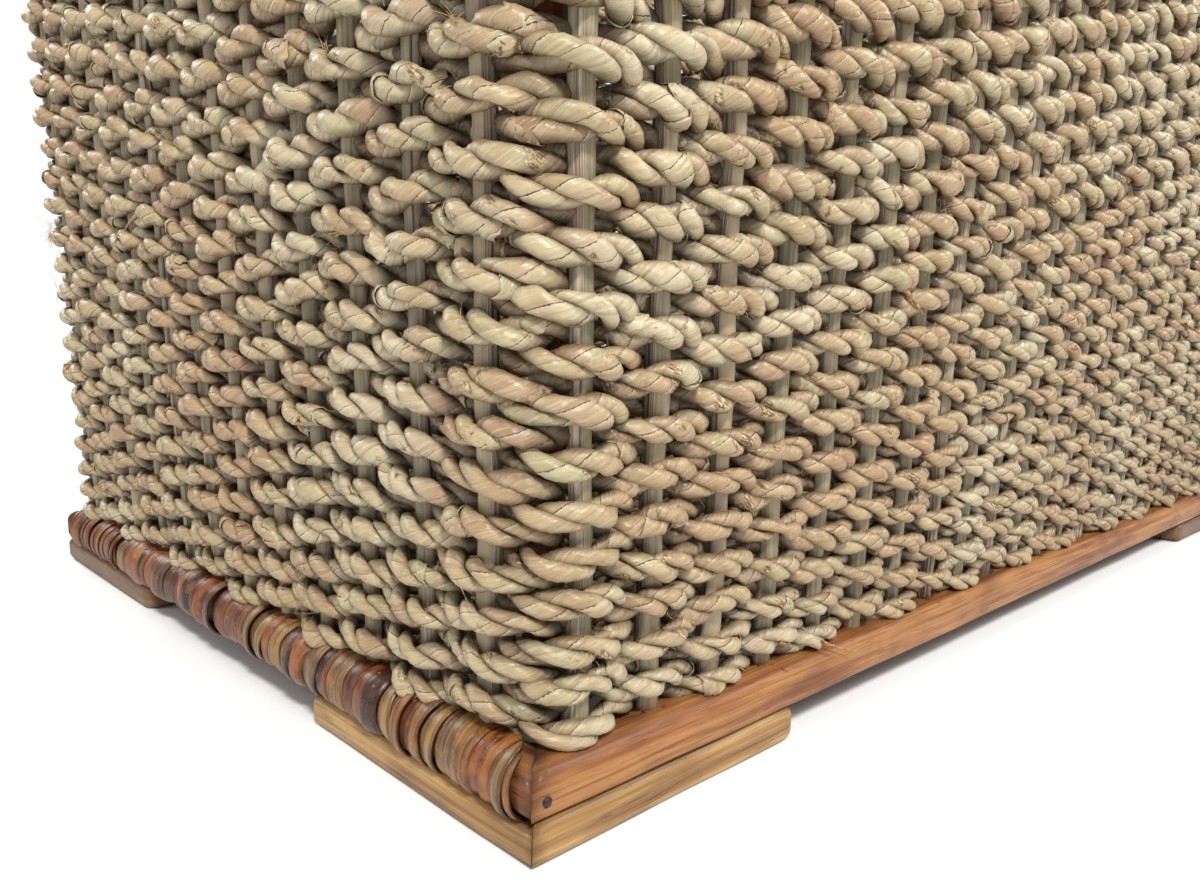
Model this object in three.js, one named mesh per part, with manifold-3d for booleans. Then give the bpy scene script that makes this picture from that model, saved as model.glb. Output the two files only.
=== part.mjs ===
// An open laundry basket: a flared woven wall between two mitred rattan frames, on four L-shaped feet.
// Millimetres, +Z up. The origin is on the ground under the middle.
// X runs along the long sides, and -Y is the front.
import * as THREE from 'three';
import { mergeVertices } from 'three/addons/utils/BufferGeometryUtils.js';
import Module from 'manifold-3d';

const wasm = await Module();
wasm.setup();

// Driving dimensions.
const LENGTH = 740; // base frame along X, outside to outside
const WIDTH = 432; // base frame along Y, outside to outside
const HEIGHT = 495; // ground to the top of the rim
const FLARE = 0.105e-3; // growth of the plan for each millimetre above the base frame
const RAIL_WIDTH = 24;
const RAIL_HEIGHT = 16.5;
const FOOT_HEIGHT = 13.2;
const FOOT_LENGTH = 131; // each arm of an L-shaped foot
const WALL_THICKNESS = 20;
const POST_RADIUS = 7;
const PANEL_THICKNESS = 8;
const GAP = 0.3; // between pieces that touch

// Places that follow from them.
const RAIL_BOTTOM = FOOT_HEIGHT + GAP;
const RAIL_TOP = RAIL_BOTTOM + RAIL_HEIGHT;
const RIM_BOTTOM = HEIGHT - RAIL_HEIGHT;
const RIM_GROWTH = 1 + FLARE * (RIM_BOTTOM - RAIL_TOP);
const BASE = { halfX: LENGTH / 2, halfY: WIDTH / 2, bottom: RAIL_BOTTOM };
const RIM = { halfX: (LENGTH / 2) * RIM_GROWTH, halfY: (WIDTH / 2) * RIM_GROWTH, bottom: RIM_BOTTOM };

// The posts' centre line, in from the frames' outer faces. The posts lean, so they need room over a rail.
const POST_LEAN = ((RIM.halfX - BASE.halfX) / (RIM_BOTTOM - RAIL_BOTTOM)) * RAIL_HEIGHT;
const POST_INSET = RAIL_WIDTH + POST_RADIUS + POST_LEAN + GAP;

// The peel wound round the short rails.
const WRAP_THICKNESS = 1.2;
const WRAP_PROUD = GAP + WRAP_THICKNESS;
const WRAP_END = RAIL_WIDTH + 2 * POST_RADIUS + 6; // the bare end it leaves at each corner

// The woven wall.
const WALL_BOTTOM = RAIL_TOP + WRAP_PROUD + GAP;
const WALL_TOP = RIM_BOTTOM - WRAP_PROUD - GAP;
const WALL_CORNER = 28; // outside radius of the wall's corners
const GRIP_HALF = 46; // half the width of the hand gap under each short rim rail
const GRIP_HEIGHT = 36;
const SILL = { width: 9, height: 7 };

// Nails.
const NAIL = { head: 1.7, headHeight: 0.6, shank: 0.9, point: 3, length: 20 };
const NAIL_FROM_CORNER = 6;
const SOLE_NAIL_AT = 0.72; // share of a foot piece's length from its mitred end
const SOLE_NAIL_UP = 0.5; // keeps the heads off the ground
const POST_NAIL_INSET = POST_INSET + POST_RADIUS * Math.SQRT1_2;

const MATERIALS = {
  rail: new THREE.MeshStandardMaterial({ color: 0xb5763c, roughness: 0.45, metalness: 0 }),
  foot: new THREE.MeshStandardMaterial({ color: 0xc09a5c, roughness: 0.5, metalness: 0 }),
  peel: new THREE.MeshStandardMaterial({ color: 0x8d4f27, roughness: 0.5, metalness: 0 }),
  rope: new THREE.MeshStandardMaterial({ color: 0xc8b48c, roughness: 0.6, metalness: 0 }),
  splint: new THREE.MeshStandardMaterial({ color: 0xa89a62, roughness: 0.55, metalness: 0 }),
  nail: new THREE.MeshStandardMaterial({ color: 0x37302c, roughness: 0.55, metalness: 0.8 }),
};

const CORNERS = [
  ['front_left', -1, -1],
  ['front_right', 1, -1],
  ['back_left', -1, 1],
  ['back_right', 1, 1],
];

const basket = new THREE.Group();

// Solids for cutting and joining.
function solidOf(geometry) {
  const bare = geometry.index ? geometry.toNonIndexed() : geometry.clone();
  bare.deleteAttribute('normal');
  bare.deleteAttribute('uv');
  const merged = mergeVertices(bare, 1e-4);
  const mesh = new wasm.Mesh({
    numProp: 3,
    vertProperties: new Float32Array(merged.attributes.position.array),
    triVerts: new Uint32Array(merged.index.array),
  });
  return new wasm.Manifold(mesh);
}

function geometryOf(solid) {
  const mesh = solid.getMesh();
  const geometry = new THREE.BufferGeometry();
  geometry.setAttribute('position', new THREE.BufferAttribute(mesh.vertProperties, 3));
  geometry.setIndex(new THREE.BufferAttribute(mesh.triVerts, 1));
  geometry.computeVertexNormals();
  return geometry;
}

function addPiece(name, solid, material) {
  const mesh = new THREE.Mesh(geometryOf(solid), material);
  mesh.name = name;
  basket.add(mesh);
}

// Outlines.
function roundedRectangle(x0, y0, x1, y1, radius, into = new THREE.Shape()) {
  into.moveTo(x0 + radius, y0);
  into.lineTo(x1 - radius, y0);
  into.absarc(x1 - radius, y0 + radius, radius, -Math.PI / 2, 0, false);
  into.lineTo(x1, y1 - radius);
  into.absarc(x1 - radius, y1 - radius, radius, 0, Math.PI / 2, false);
  into.lineTo(x0 + radius, y1);
  into.absarc(x0 + radius, y1 - radius, radius, Math.PI / 2, Math.PI, false);
  into.lineTo(x0, y0 + radius);
  into.absarc(x0 + radius, y0 + radius, radius, Math.PI, 1.5 * Math.PI, false);
  return into;
}

function polygon(points) {
  return new THREE.Shape(points.map(([x, y]) => new THREE.Vector2(x, y)));
}

function upright(shape, z0, z1, curveSegments = 5) {
  const geometry = new THREE.ExtrudeGeometry(shape, { depth: z1 - z0, bevelEnabled: false, curveSegments });
  return geometry.translate(0, 0, z0);
}

// A section drawn in (across, up) run along +X from x0 to x1.
function alongX(shape, x0, x1, curveSegments = 4) {
  const geometry = new THREE.ExtrudeGeometry(shape, { depth: x1 - x0, bevelEnabled: false, curveSegments });
  geometry.rotateX(Math.PI / 2);
  geometry.rotateZ(Math.PI / 2);
  return geometry.translate(x0, 0, 0);
}

// Frames are laid out in a side's own axes: s along the side, t inwards from its outer face.
// The four sides are the front one turned in quarter turns.
const SIDES = [
  { name: 'front', turn: 0, long: true },
  { name: 'right', turn: 1, long: false },
  { name: 'back', turn: 2, long: true },
  { name: 'left', turn: 3, long: false },
];

function toSide(solid, side, frame) {
  const depth = side.long ? frame.halfY : frame.halfX;
  return solid.translate([0, -depth, 0]).rotate([0, 0, 90 * side.turn]);
}

function halfOf(side, frame) {
  return side.long ? frame.halfX : frame.halfY;
}

// A bar with the rail's rounded section, trimmed to a plan outline.
function bar(plan, z0, z1, reach) {
  const section = roundedRectangle(0, z0, RAIL_WIDTH, z1, 4.5);
  const stock = solidOf(alongX(section, -reach, reach));
  return stock.intersect(solidOf(upright(plan, z0 - 1, z1 + 1)));
}

function railPlan(half) {
  const inner = half - RAIL_WIDTH;
  const relief = GAP * 0.7; // keeps the mitre faces apart
  return polygon([
    [-half + relief, 0],
    [half - relief, 0],
    [inner - relief, RAIL_WIDTH],
    [-inner + relief, RAIL_WIDTH],
  ]);
}

// The mitre is at the end towards +s, and the free end has rounded corners.
function footPlan(half) {
  const relief = GAP * 0.7;
  const free = half - FOOT_LENGTH;
  const plan = new THREE.Shape();
  plan.moveTo(half - relief, 0);
  plan.lineTo(half - RAIL_WIDTH - relief, RAIL_WIDTH);
  plan.lineTo(free + 6, RAIL_WIDTH);
  plan.absarc(free + 6, RAIL_WIDTH - 6, 6, Math.PI / 2, Math.PI, false);
  plan.lineTo(free, 6);
  plan.absarc(free + 6, 6, 6, Math.PI, 1.5 * Math.PI, false);
  return plan;
}

// A nail along +Z with its head's top at z = 0. Grown by the gap, it is the hole that the nail needs.
function nailGeometry(grown = 0) {
  const { head, headHeight, shank, point, length } = NAIL;
  const profile = [
    [0, -length - grown],
    [shank + grown, -length + point],
    [shank + grown, -headHeight - grown],
    [head + grown, -headHeight - grown],
    [head + grown, 3 * grown],
    [0, 3 * grown],
  ];
  const lathe = new THREE.LatheGeometry(profile.map(([r, z]) => new THREE.Vector2(r, z)), 8);
  return lathe.rotateX(Math.PI / 2);
}

// Every nail: its name, its head's place and the way that it is driven. Those in the mitres go in from the
// long side, those under the feet go up, and those in the posts go out into the corners.
function cornerNails([corner, xSign, ySign]) {
  const nail = (name, x, y, z, ...way) => ({
    name,
    at: new THREE.Vector3(xSign * x, ySign * y, z),
    way: new THREE.Vector3(...way).normalize(),
  });
  const baseX = BASE.halfX - NAIL_FROM_CORNER;
  const baseY = BASE.halfY + GAP;
  const rimX = RIM.halfX - NAIL_FROM_CORNER;
  const rimY = RIM.halfY + GAP;
  const middle = RAIL_WIDTH / 2;
  const longSoleX = BASE.halfX - SOLE_NAIL_AT * FOOT_LENGTH;
  const shortSoleY = BASE.halfY - SOLE_NAIL_AT * FOOT_LENGTH;
  const nails = [
    nail(`rail_nail_${corner}`, baseX, baseY, RAIL_BOTTOM + 0.38 * RAIL_HEIGHT, 0, -ySign, 0),
    nail(`foot_nail_${corner}`, baseX, baseY, FOOT_HEIGHT / 2, 0, -ySign, 0),
    nail(`rim_nail_${corner}`, rimX, rimY, RIM_BOTTOM + RAIL_HEIGHT / 2, 0, -ySign, 0),
    nail(`sole_nail_${corner}_long`, longSoleX, BASE.halfY - middle, SOLE_NAIL_UP, 0, 0, 1),
    nail(`sole_nail_${corner}_short`, BASE.halfX - middle, shortSoleY, SOLE_NAIL_UP, 0, 0, 1),
  ];
  for (const [name, frame] of [['base', BASE], ['rim', RIM]]) {
    const x = frame.halfX - POST_NAIL_INSET;
    const y = frame.halfY - POST_NAIL_INSET;
    const z = frame.bottom + RAIL_HEIGHT / 2;
    nails.push(nail(`post_nail_${name}_${corner}`, x, y, z, xSign, ySign, 0));
  }
  return nails;
}

const NAILS = CORNERS.flatMap(cornerNails);

function driven(geometry, { at, way }) {
  const down = new THREE.Vector3(0, 0, -1);
  const turn = new THREE.Quaternion().setFromUnitVectors(down, way);
  return solidOf(geometry.applyQuaternion(turn).translate(at.x, at.y, at.z));
}

const HOLES = NAILS.map((place) => driven(nailGeometry(GAP), place));

function withNailHoles(solid) {
  return HOLES.reduce((left, hole) => left.subtract(hole), solid);
}

// Battens under the bottom, tenoned into the long rails.
const BATTEN_X = [-210, 0, 210];
const BATTEN = { width: 22, height: 11, tenonWidth: 12, tenonHeight: 6, tenonLength: 9 };

function tenon(x, clearance) {
  const length = BASE.halfY - RAIL_WIDTH + BATTEN.tenonLength + clearance;
  const box = new THREE.BoxGeometry(
    BATTEN.tenonWidth + 2 * clearance,
    2 * length,
    BATTEN.tenonHeight + 2 * clearance,
  );
  return solidOf(box.translate(x, 0, RAIL_TOP - BATTEN.height / 2));
}

function addBattens() {
  BATTEN_X.forEach((x, index) => {
    const half = BASE.halfY - RAIL_WIDTH - GAP;
    const across = BATTEN.width / 2;
    const section = roundedRectangle(-across, RAIL_TOP - BATTEN.height, across, RAIL_TOP, 2);
    const body = solidOf(alongX(section, -half, half)).rotate([0, 0, 90]).translate([x, 0, 0]);
    addPiece(`bottom_batten_${index + 1}`, body.add(tenon(x, 0)), MATERIALS.splint);
  });
}

function addFrame(prefix, frame) {
  for (const side of SIDES) {
    const half = halfOf(side, frame);
    const rail = bar(railPlan(half), frame.bottom, frame.bottom + RAIL_HEIGHT, half + 1);
    let placed = withNailHoles(toSide(rail, side, frame));
    if (frame === BASE && side.long) {
      for (const x of BATTEN_X) {
        placed = placed.subtract(tenon(x, GAP));
      }
    }
    addPiece(`${prefix}_rail_${side.name}`, placed, MATERIALS.rail);
    if (!side.long) {
      const sleeve = toSide(wrap(half - WRAP_END, frame), side, frame);
      addPiece(`${prefix}_wrap_${side.name}`, withNailHoles(sleeve), MATERIALS.peel);
    }
  }
}

function wrap(half, frame) {
  const top = frame.bottom + RAIL_HEIGHT;
  const grown = (by, into) =>
    roundedRectangle(-by, frame.bottom - by, RAIL_WIDTH + by, top + by, 4.5 + by, into);
  const section = grown(WRAP_PROUD);
  section.holes.push(grown(GAP, new THREE.Path()));
  return solidOf(alongX(section, -half, half));
}

// Each foot is two pieces, one under each rail, and the short one is relieved for the wrapping above it.
function footPiece(side) {
  const half = halfOf(side, BASE);
  const piece = bar(footPlan(half), 0, FOOT_HEIGHT, half + 1);
  if (side.long) {
    return piece;
  }
  const relief = new THREE.BoxGeometry(2 * (half - WRAP_END + 1), 3 * RAIL_WIDTH, 2 * WRAP_PROUD);
  return piece.subtract(solidOf(relief.translate(0, 0, RAIL_BOTTOM)));
}

function addFeet() {
  SIDES.forEach((side, index) => {
    const next = SIDES[(index + 1) % 4].name;
    const previous = SIDES[(index + 3) % 4].name;
    const piece = footPiece(side);
    for (const [end, foot] of [[next, piece], [previous, piece.mirror([1, 0, 0])]]) {
      const name = side.long ? `foot_${side.name}_${end}_long` : `foot_${end}_${side.name}_short`;
      addPiece(name, withNailHoles(toSide(foot, side, BASE)), MATERIALS.foot);
    }
  });
}

// Posts lean with the wall, inside the corners of both frames.
function postSolid(xSign, ySign, radius) {
  const base = new THREE.Vector2(BASE.halfX - POST_INSET, BASE.halfY - POST_INSET);
  const rim = new THREE.Vector2(RIM.halfX - POST_INSET, RIM.halfY - POST_INSET);
  const foot = new THREE.Vector3(xSign * base.x, ySign * base.y, RAIL_BOTTOM + 1);
  const head = new THREE.Vector3(xSign * rim.x, ySign * rim.y, HEIGHT - 1);
  const circle = new THREE.Shape().absarc(0, 0, radius, 0, 2 * Math.PI, false);
  const path = new THREE.LineCurve3(foot, head);
  return solidOf(new THREE.ExtrudeGeometry(circle, { steps: 1, extrudePath: path, curveSegments: 8 }));
}

function addPosts() {
  for (const [name, xSign, ySign] of CORNERS) {
    addPiece(`corner_post_${name}`, withNailHoles(postSolid(xSign, ySign, POST_RADIUS)), MATERIALS.rail);
  }
}

// The woven bottom lies on the battens and on the edges of the long rails.
function addBottom() {
  const halfX = BASE.halfX - RAIL_WIDTH - WRAP_PROUD - 1;
  const halfY = BASE.halfY - WALL_THICKNESS - 1;
  const outline = roundedRectangle(-halfX, -halfY, halfX, halfY, 6);
  let panel = solidOf(upright(outline, RAIL_TOP + GAP, RAIL_TOP + GAP + PANEL_THICKNESS));
  for (const [, xSign, ySign] of CORNERS) {
    panel = panel.subtract(postSolid(xSign, ySign, POST_RADIUS + 1));
  }
  addPiece('bottom_panel', panel, MATERIALS.rope);
}

// The wall is a ring with rounded corners whose plan grows with height, open for a hand on each short side.
function addWall() {
  const ring = roundedRectangle(-BASE.halfX, -BASE.halfY, BASE.halfX, BASE.halfY, WALL_CORNER);
  const inX = BASE.halfX - WALL_THICKNESS;
  const inY = BASE.halfY - WALL_THICKNESS;
  ring.holes.push(roundedRectangle(-inX, -inY, inX, inY, WALL_CORNER - WALL_THICKNESS, new THREE.Path()));
  const geometry = upright(ring, WALL_BOTTOM, WALL_TOP);
  const position = geometry.attributes.position;
  for (let i = 0; i < position.count; i += 1) {
    const growth = 1 + FLARE * (position.getZ(i) - RAIL_TOP);
    position.setXY(i, position.getX(i) * growth, position.getY(i) * growth);
  }
  const gripCut = new THREE.BoxGeometry(2 * RIM.halfX + 20, 2 * GRIP_HALF, 2 * GRIP_HEIGHT);
  const wall = solidOf(geometry).subtract(solidOf(gripCut.translate(0, 0, WALL_TOP)));
  addPiece('woven_wall', wall, MATERIALS.rope);
}

// A sill closes the lower edge of each hand gap.
function addSills() {
  const bottom = WALL_TOP - GRIP_HEIGHT + GAP;
  const middle = (BASE.halfX - WALL_THICKNESS / 2) * (1 + FLARE * (bottom - RAIL_TOP));
  const section = roundedRectangle(-SILL.width / 2, bottom, SILL.width / 2, bottom + SILL.height, 2.5);
  for (const [name, xSign] of [['left', -1], ['right', 1]]) {
    const half = GRIP_HALF - GAP;
    const sill = solidOf(alongX(section, -half, half)).rotate([0, 0, 90]).translate([xSign * middle, 0, 0]);
    addPiece(`grip_sill_${name}`, sill, MATERIALS.splint);
  }
}

function addNails() {
  for (const place of NAILS) {
    addPiece(place.name, driven(nailGeometry(), place), MATERIALS.nail);
  }
}

addFrame('base', BASE);
addFeet();
addBattens();
addBottom();
addPosts();
addWall();
addSills();
addFrame('rim', RIM);
addNails();

export default basket;
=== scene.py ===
"""An open laundry basket woven from two-ply leaf rope round split-cane stakes, between two rattan frames.

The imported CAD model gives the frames, posts, feet and nails their places. This script makes the ropes,
stakes, loose fibres, wound peel, smooth rattan bars and nails around it, with their materials, light and
camera.
Lengths are in metres. X runs along the long sides, and -Y is the front.
"""

import math

import bpy
import numpy as np
from mathutils import Matrix, Vector


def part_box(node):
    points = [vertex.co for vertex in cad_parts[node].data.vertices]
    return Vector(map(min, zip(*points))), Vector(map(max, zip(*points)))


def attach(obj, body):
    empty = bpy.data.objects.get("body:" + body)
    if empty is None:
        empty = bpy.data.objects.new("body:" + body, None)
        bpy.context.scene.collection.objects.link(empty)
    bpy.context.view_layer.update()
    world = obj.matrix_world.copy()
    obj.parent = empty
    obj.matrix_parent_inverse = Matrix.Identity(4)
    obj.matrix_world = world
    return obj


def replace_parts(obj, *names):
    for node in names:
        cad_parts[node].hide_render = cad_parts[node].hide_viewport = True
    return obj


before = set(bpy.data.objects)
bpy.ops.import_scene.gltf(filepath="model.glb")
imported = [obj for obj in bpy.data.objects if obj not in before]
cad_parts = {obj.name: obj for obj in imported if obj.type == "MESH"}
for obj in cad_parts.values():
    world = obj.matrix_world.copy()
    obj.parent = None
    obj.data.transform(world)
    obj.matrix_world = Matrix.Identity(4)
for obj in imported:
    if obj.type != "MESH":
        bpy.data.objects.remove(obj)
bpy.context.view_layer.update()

MM = 0.001
UP = np.array([0.0, 0.0, 1.0])

# ---------------------------------------------------------------- places from the frame



def frame_places(prefix):
    """Half the plan's length and width over one frame's rails, their heights and their own width."""
    front_low, front_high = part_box(f"{prefix}_rail_front")
    left_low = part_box(f"{prefix}_rail_left")[0]
    return {
        "half_x": -left_low.x,
        "half_y": -front_low.y,
        "bottom": front_low.z,
        "top": front_high.z,
        "width": front_high.y - front_low.y,
    }


BASE = frame_places("base")
RIM = frame_places("rim")
RAIL_WIDTH = BASE["width"]
FLARE = (RIM["half_x"] / BASE["half_x"] - 1) / (RIM["bottom"] - BASE["top"])
LONG_SIDES = ("front", "back")
TURNS = {"front": 0, "right": 1, "back": 2, "left": 3}  # quarter turns of each side from the front

# The weave.
STAKE_INSET = 11 * MM  # stakes' centre line, in from the rails' outer faces
STAKE_WIDTH = 6.6 * MM
STAKE_DEPTH = 5.4 * MM
CORNER_RADIUS = 14 * MM  # the rope's turn at a corner, along the stakes' line
LONG_STAKES = 23
SHORT_STAKES = 12
LONG_FIRST = 27.3 * MM  # first stake from the corner on a long side
SHORT_FIRST = 32.5 * MM
WEAVE_DEPTH = 5.2 * MM  # how far the rope's centre swings to each side of the stakes
STRAND_RADIUS = 3.1 * MM
STRAND_OFFSET = 2.4 * MM  # strand centre from rope centre
HALF_LAY = 15 * MM  # rope length in which one strand takes the other's place
FIRST_ROW = 3.6 * MM  # first row's centre above the rail
LAST_ROW = 6.5 * MM  # last row's centre below the rim rail
ROW_PITCH = 6.5 * MM
ROW_PITCH_GROWTH = 0.052 * MM  # looser beating towards the top
ROW_PITCH_MAX = 8.5 * MM
ROW_CROWN = 6 * MM  # rows stand higher in the middle of a side, half-way up
LEAF_TURN = 4.2 * MM  # strand length between one leaf edge and the next
LEAF_STARTS = 2  # leaf edges wound side by side round a strand
ROW_SWELL = (0.84, 1.02, 1.12)  # rope size at the lowest row, half-way up and at the top
FINE_STEP = 1.5 * MM  # between a rope's sample places near the camera's corner
COARSE_STEP = 3.2 * MM
FINE_REACH = 0.42  # distance from the front left corner that gets the fine step

# The first random seed of each kind of piece.
SEEDS = {
    "rail": 50,
    "foot": 80,
    "post": 140,
    "batten": 160,
    "sill": 170,
    "stake": 300,
    "wrap": 400,
    "loose_fibre": 700,
    "torn_fibre": 760,
    "rope_row": 1000,
    "bottom_rope": 2000,
    "bottom_splint": 2200,
}
FRAMES = (("base", BASE, 0), ("rim", RIM, 10))  # name, places, and step in its pieces' random seeds

# The camera stands close to the front left corner. Angles are in radians, lens and sensor in mm.
CAMERA_FROM_CORNER = Vector((-0.1597, -0.1852, 0.1591))
CAMERA_HEADING = 0.8113
CAMERA_DIP = 0.1833
CAMERA_ROLL = -0.0233
CAMERA_LENS = 28.5
CAMERA_SENSOR = 36.0
CAMERA_SHIFT = (0.0157, 0.0329)


def growth(z):
    """How much wider the plan is at height z than on the base frame."""
    return 1 + FLARE * (z - BASE["top"])


def random_for(kind, index):
    """The random numbers of one piece, the same every time."""
    return np.random.default_rng(SEEDS[kind] + index)


# ---------------------------------------------------------------- mesh helpers


def make_object(name, points, quads, caps, uv, values, material):
    """A smooth mesh object from quads and end polygons, with a UV for each quad corner and named
    values for each point. It rides on the basket's one body."""
    faces = [np.asarray(quads, dtype=np.int32).ravel()]
    sizes = [4] * len(quads)
    for cap in caps:
        faces.append(np.asarray(cap, dtype=np.int32))
        sizes.append(len(cap))
    corners = np.concatenate(faces)
    starts = np.concatenate([[0], np.cumsum(sizes)[:-1]]).astype(np.int32)
    mesh = bpy.data.meshes.new(name)
    mesh.vertices.add(len(points))
    mesh.vertices.foreach_set("co", np.asarray(points, dtype=np.float32).ravel())
    mesh.loops.add(len(corners))
    mesh.loops.foreach_set("vertex_index", corners)
    mesh.polygons.add(len(sizes))
    mesh.polygons.foreach_set("loop_start", starts)
    mesh.polygons.foreach_set("use_smooth", np.ones(len(sizes), dtype=bool))
    mesh.update(calc_edges=True)
    full = np.zeros((len(corners), 2), dtype=np.float32)
    full[: len(uv)] = uv
    mesh.uv_layers.new(name="grain").data.foreach_set("uv", full.ravel())
    for key, numbers in values.items():
        layer = mesh.attributes.new(key, "FLOAT", "POINT")
        layer.data.foreach_set("value", np.asarray(numbers, dtype=np.float32))
    mesh.materials.append(material)
    obj = bpy.data.objects.new(name, mesh)
    bpy.context.scene.collection.objects.link(obj)
    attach(obj, "root")
    return obj


class Parts:
    """Collects grids of quads into one mesh."""

    def __init__(self):
        self.points, self.quads, self.caps, self.uv = [], [], [], []
        self.tone, self.shade = [], []
        self.count = 0

    def add_grid(self, grid, u, v=None, closed_u=False, tone=0.0, shade=0.0, cap=False):
        """Adds a tube: grid is stations x around x 3, u is the length at each station (one more
        if the tube closes on itself), v goes round, evenly from 0 to 1 if it isn't given. tone is
        the same all over, shade is by point."""
        stations, around = grid.shape[:2]
        if v is None:
            v = np.linspace(0, 1, around + 1)
        rows = stations if closed_u else stations - 1
        i, j = np.meshgrid(np.arange(rows), np.arange(around), indexing="ij")
        i2, j2 = (i + 1) % stations, (j + 1) % around
        index = self.count + np.stack(
            [i * around + j, i2 * around + j, i2 * around + j2, i * around + j2], -1
        ).reshape(-1, 4)
        uv = np.stack(
            [
                np.stack([u[i], v[j]], -1),
                np.stack([u[i + 1], v[j]], -1),
                np.stack([u[i + 1], v[j + 1]], -1),
                np.stack([u[i], v[j + 1]], -1),
            ],
            2,
        ).reshape(-1, 2)
        self.points.append(grid.reshape(-1, 3))
        self.quads.append(index)
        self.uv.append(uv)
        self.tone.append(np.full(stations * around, tone))
        self.shade.append(np.broadcast_to(shade, (stations, around)).ravel())
        if cap:
            ring = np.arange(around)
            self.caps.append(self.count + ring)
            self.caps.append(self.count + (stations - 1) * around + ring[::-1])
        self.count += stations * around

    def finish(self, name, material, slot):
        """One mesh object of all that was added."""
        return make_object(
            name,
            np.concatenate(self.points),
            np.concatenate(self.quads),
            self.caps,
            np.concatenate(self.uv),
            {"tone": np.concatenate(self.tone), "shade": np.concatenate(self.shade)},
            material,
        )


def unit(v):
    """Vectors of length 1, with the same directions."""
    return v / np.maximum(np.linalg.norm(v, axis=-1, keepdims=True), 1e-12)


def slope(values, closed):
    """Central differences along the first axis."""
    if closed:
        return np.roll(values, -1, axis=0) - np.roll(values, 1, axis=0)
    return np.gradient(values, axis=0)


def waves(s, length, shortest, longest, rng, terms=10):
    """Smooth noise along a line, of unit size, that closes on itself after the given length."""
    total = np.zeros_like(s)
    for _ in range(terms):
        wavelength = shortest * (longest / shortest) ** rng.random()
        turns = max(1, round(length / wavelength))
        total += np.sin(2 * math.pi * (turns * s / length + rng.random()))
    return total * math.sqrt(2 / terms)


# ---------------------------------------------------------------- the ring that the ropes follow


class Ring:
    """A rounded rectangle walked anticlockwise from the start of the front straight."""

    def __init__(self, half_x, half_y, radius):
        self.radius = radius
        self.flat_x = half_x - radius
        self.flat_y = half_y - radius
        self.arc = math.pi / 2 * radius
        self.length = 4 * (self.flat_x + self.flat_y) + 4 * self.arc

    def starts(self):
        """Where each side's straight begins: front, right, back, left."""
        long_step = 2 * self.flat_x + self.arc
        short_step = 2 * self.flat_y + self.arc
        return [0.0, long_step, long_step + short_step, 2 * long_step + short_step]

    def at(self, s):
        """Points and outward normals, both n x 3 with z = 0."""
        s = np.asarray(s, dtype=float) % self.length
        point = np.zeros(s.shape + (3,))
        normal = np.zeros(s.shape + (3,))
        for quarter, start in enumerate(self.starts()):
            flat, other_flat = self.flat_x, self.flat_y
            if quarter % 2:
                flat, other_flat = other_flat, flat
            turn = quarter * math.pi / 2
            along = s - start
            straight = (along >= 0) & (along < 2 * flat)
            bend = (along >= 2 * flat) & (along < 2 * flat + self.arc)
            angle = np.where(bend, (along - 2 * flat) / self.radius, 0.0)
            x = np.where(bend, flat + self.radius * np.sin(angle), along - flat)
            y = np.where(bend, -other_flat - self.radius * np.cos(angle), -(other_flat + self.radius))
            nx, ny = np.sin(angle), -np.cos(angle)
            here = straight | bend
            c, k = math.cos(turn), math.sin(turn)
            point[here, 0] = (c * x - k * y)[here]
            point[here, 1] = (k * x + c * y)[here]
            normal[here, 0] = (c * nx - k * ny)[here]
            normal[here, 1] = (k * nx + c * ny)[here]
        return point, normal

    def corner_distance(self, s):
        """Distance along the wall from the nearest corner's middle."""
        corners = np.array([(start - self.arc / 2) % self.length for start in self.starts()])
        away = np.abs((np.asarray(s)[:, None] - corners + self.length / 2) % self.length - self.length / 2)
        return away.min(axis=1)


RING = Ring(BASE["half_x"] - STAKE_INSET, BASE["half_y"] - STAKE_INSET, CORNER_RADIUS)


def half_flat(side):
    """Half the length of one side's straight."""
    return RING.flat_x if side in LONG_SIDES else RING.flat_y


def half_length(side, where):
    """Half of one side's length over a frame's rails."""
    return where["half_x"] if side in LONG_SIDES else where["half_y"]


def stake_stations(side):
    """The places on the ring of one side's stakes, in walking order."""
    half = half_length(side, BASE)
    first = LONG_FIRST if side in LONG_SIDES else SHORT_FIRST
    count = LONG_STAKES if side in LONG_SIDES else SHORT_STAKES
    middle = RING.starts()[TURNS[side]] + half_flat(side)
    return middle + np.linspace(-half + first, half - first, count)


SIDE_STAKES = {side: stake_stations(side) for side in TURNS}
STAKES = np.concatenate(list(SIDE_STAKES.values()))
ROW_FLOOR = BASE["top"] + FIRST_ROW
ROW_CEILING = RIM["bottom"] - LAST_ROW


def row_heights():
    """Each row's height at a corner, from the rail up to the rim."""
    heights = [ROW_FLOOR]
    pitch = ROW_PITCH
    while heights[-1] + pitch < ROW_CEILING:
        heights.append(heights[-1] + pitch)
        pitch = min(pitch + ROW_PITCH_GROWTH, ROW_PITCH_MAX)
    spare = (ROW_CEILING - ROW_FLOOR) / (heights[-1] - ROW_FLOOR)
    return [ROW_FLOOR + (h - ROW_FLOOR) * spare for h in heights]


def crowned(s, z):
    """Height of a row along the wall, which rises a little away from the corners."""
    rise = math.sin(math.pi * (z - ROW_FLOOR) / (ROW_CEILING - ROW_FLOOR))
    return z + ROW_CROWN * rise * (1 - np.exp(-((RING.corner_distance(s) / 0.12) ** 2)))


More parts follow.
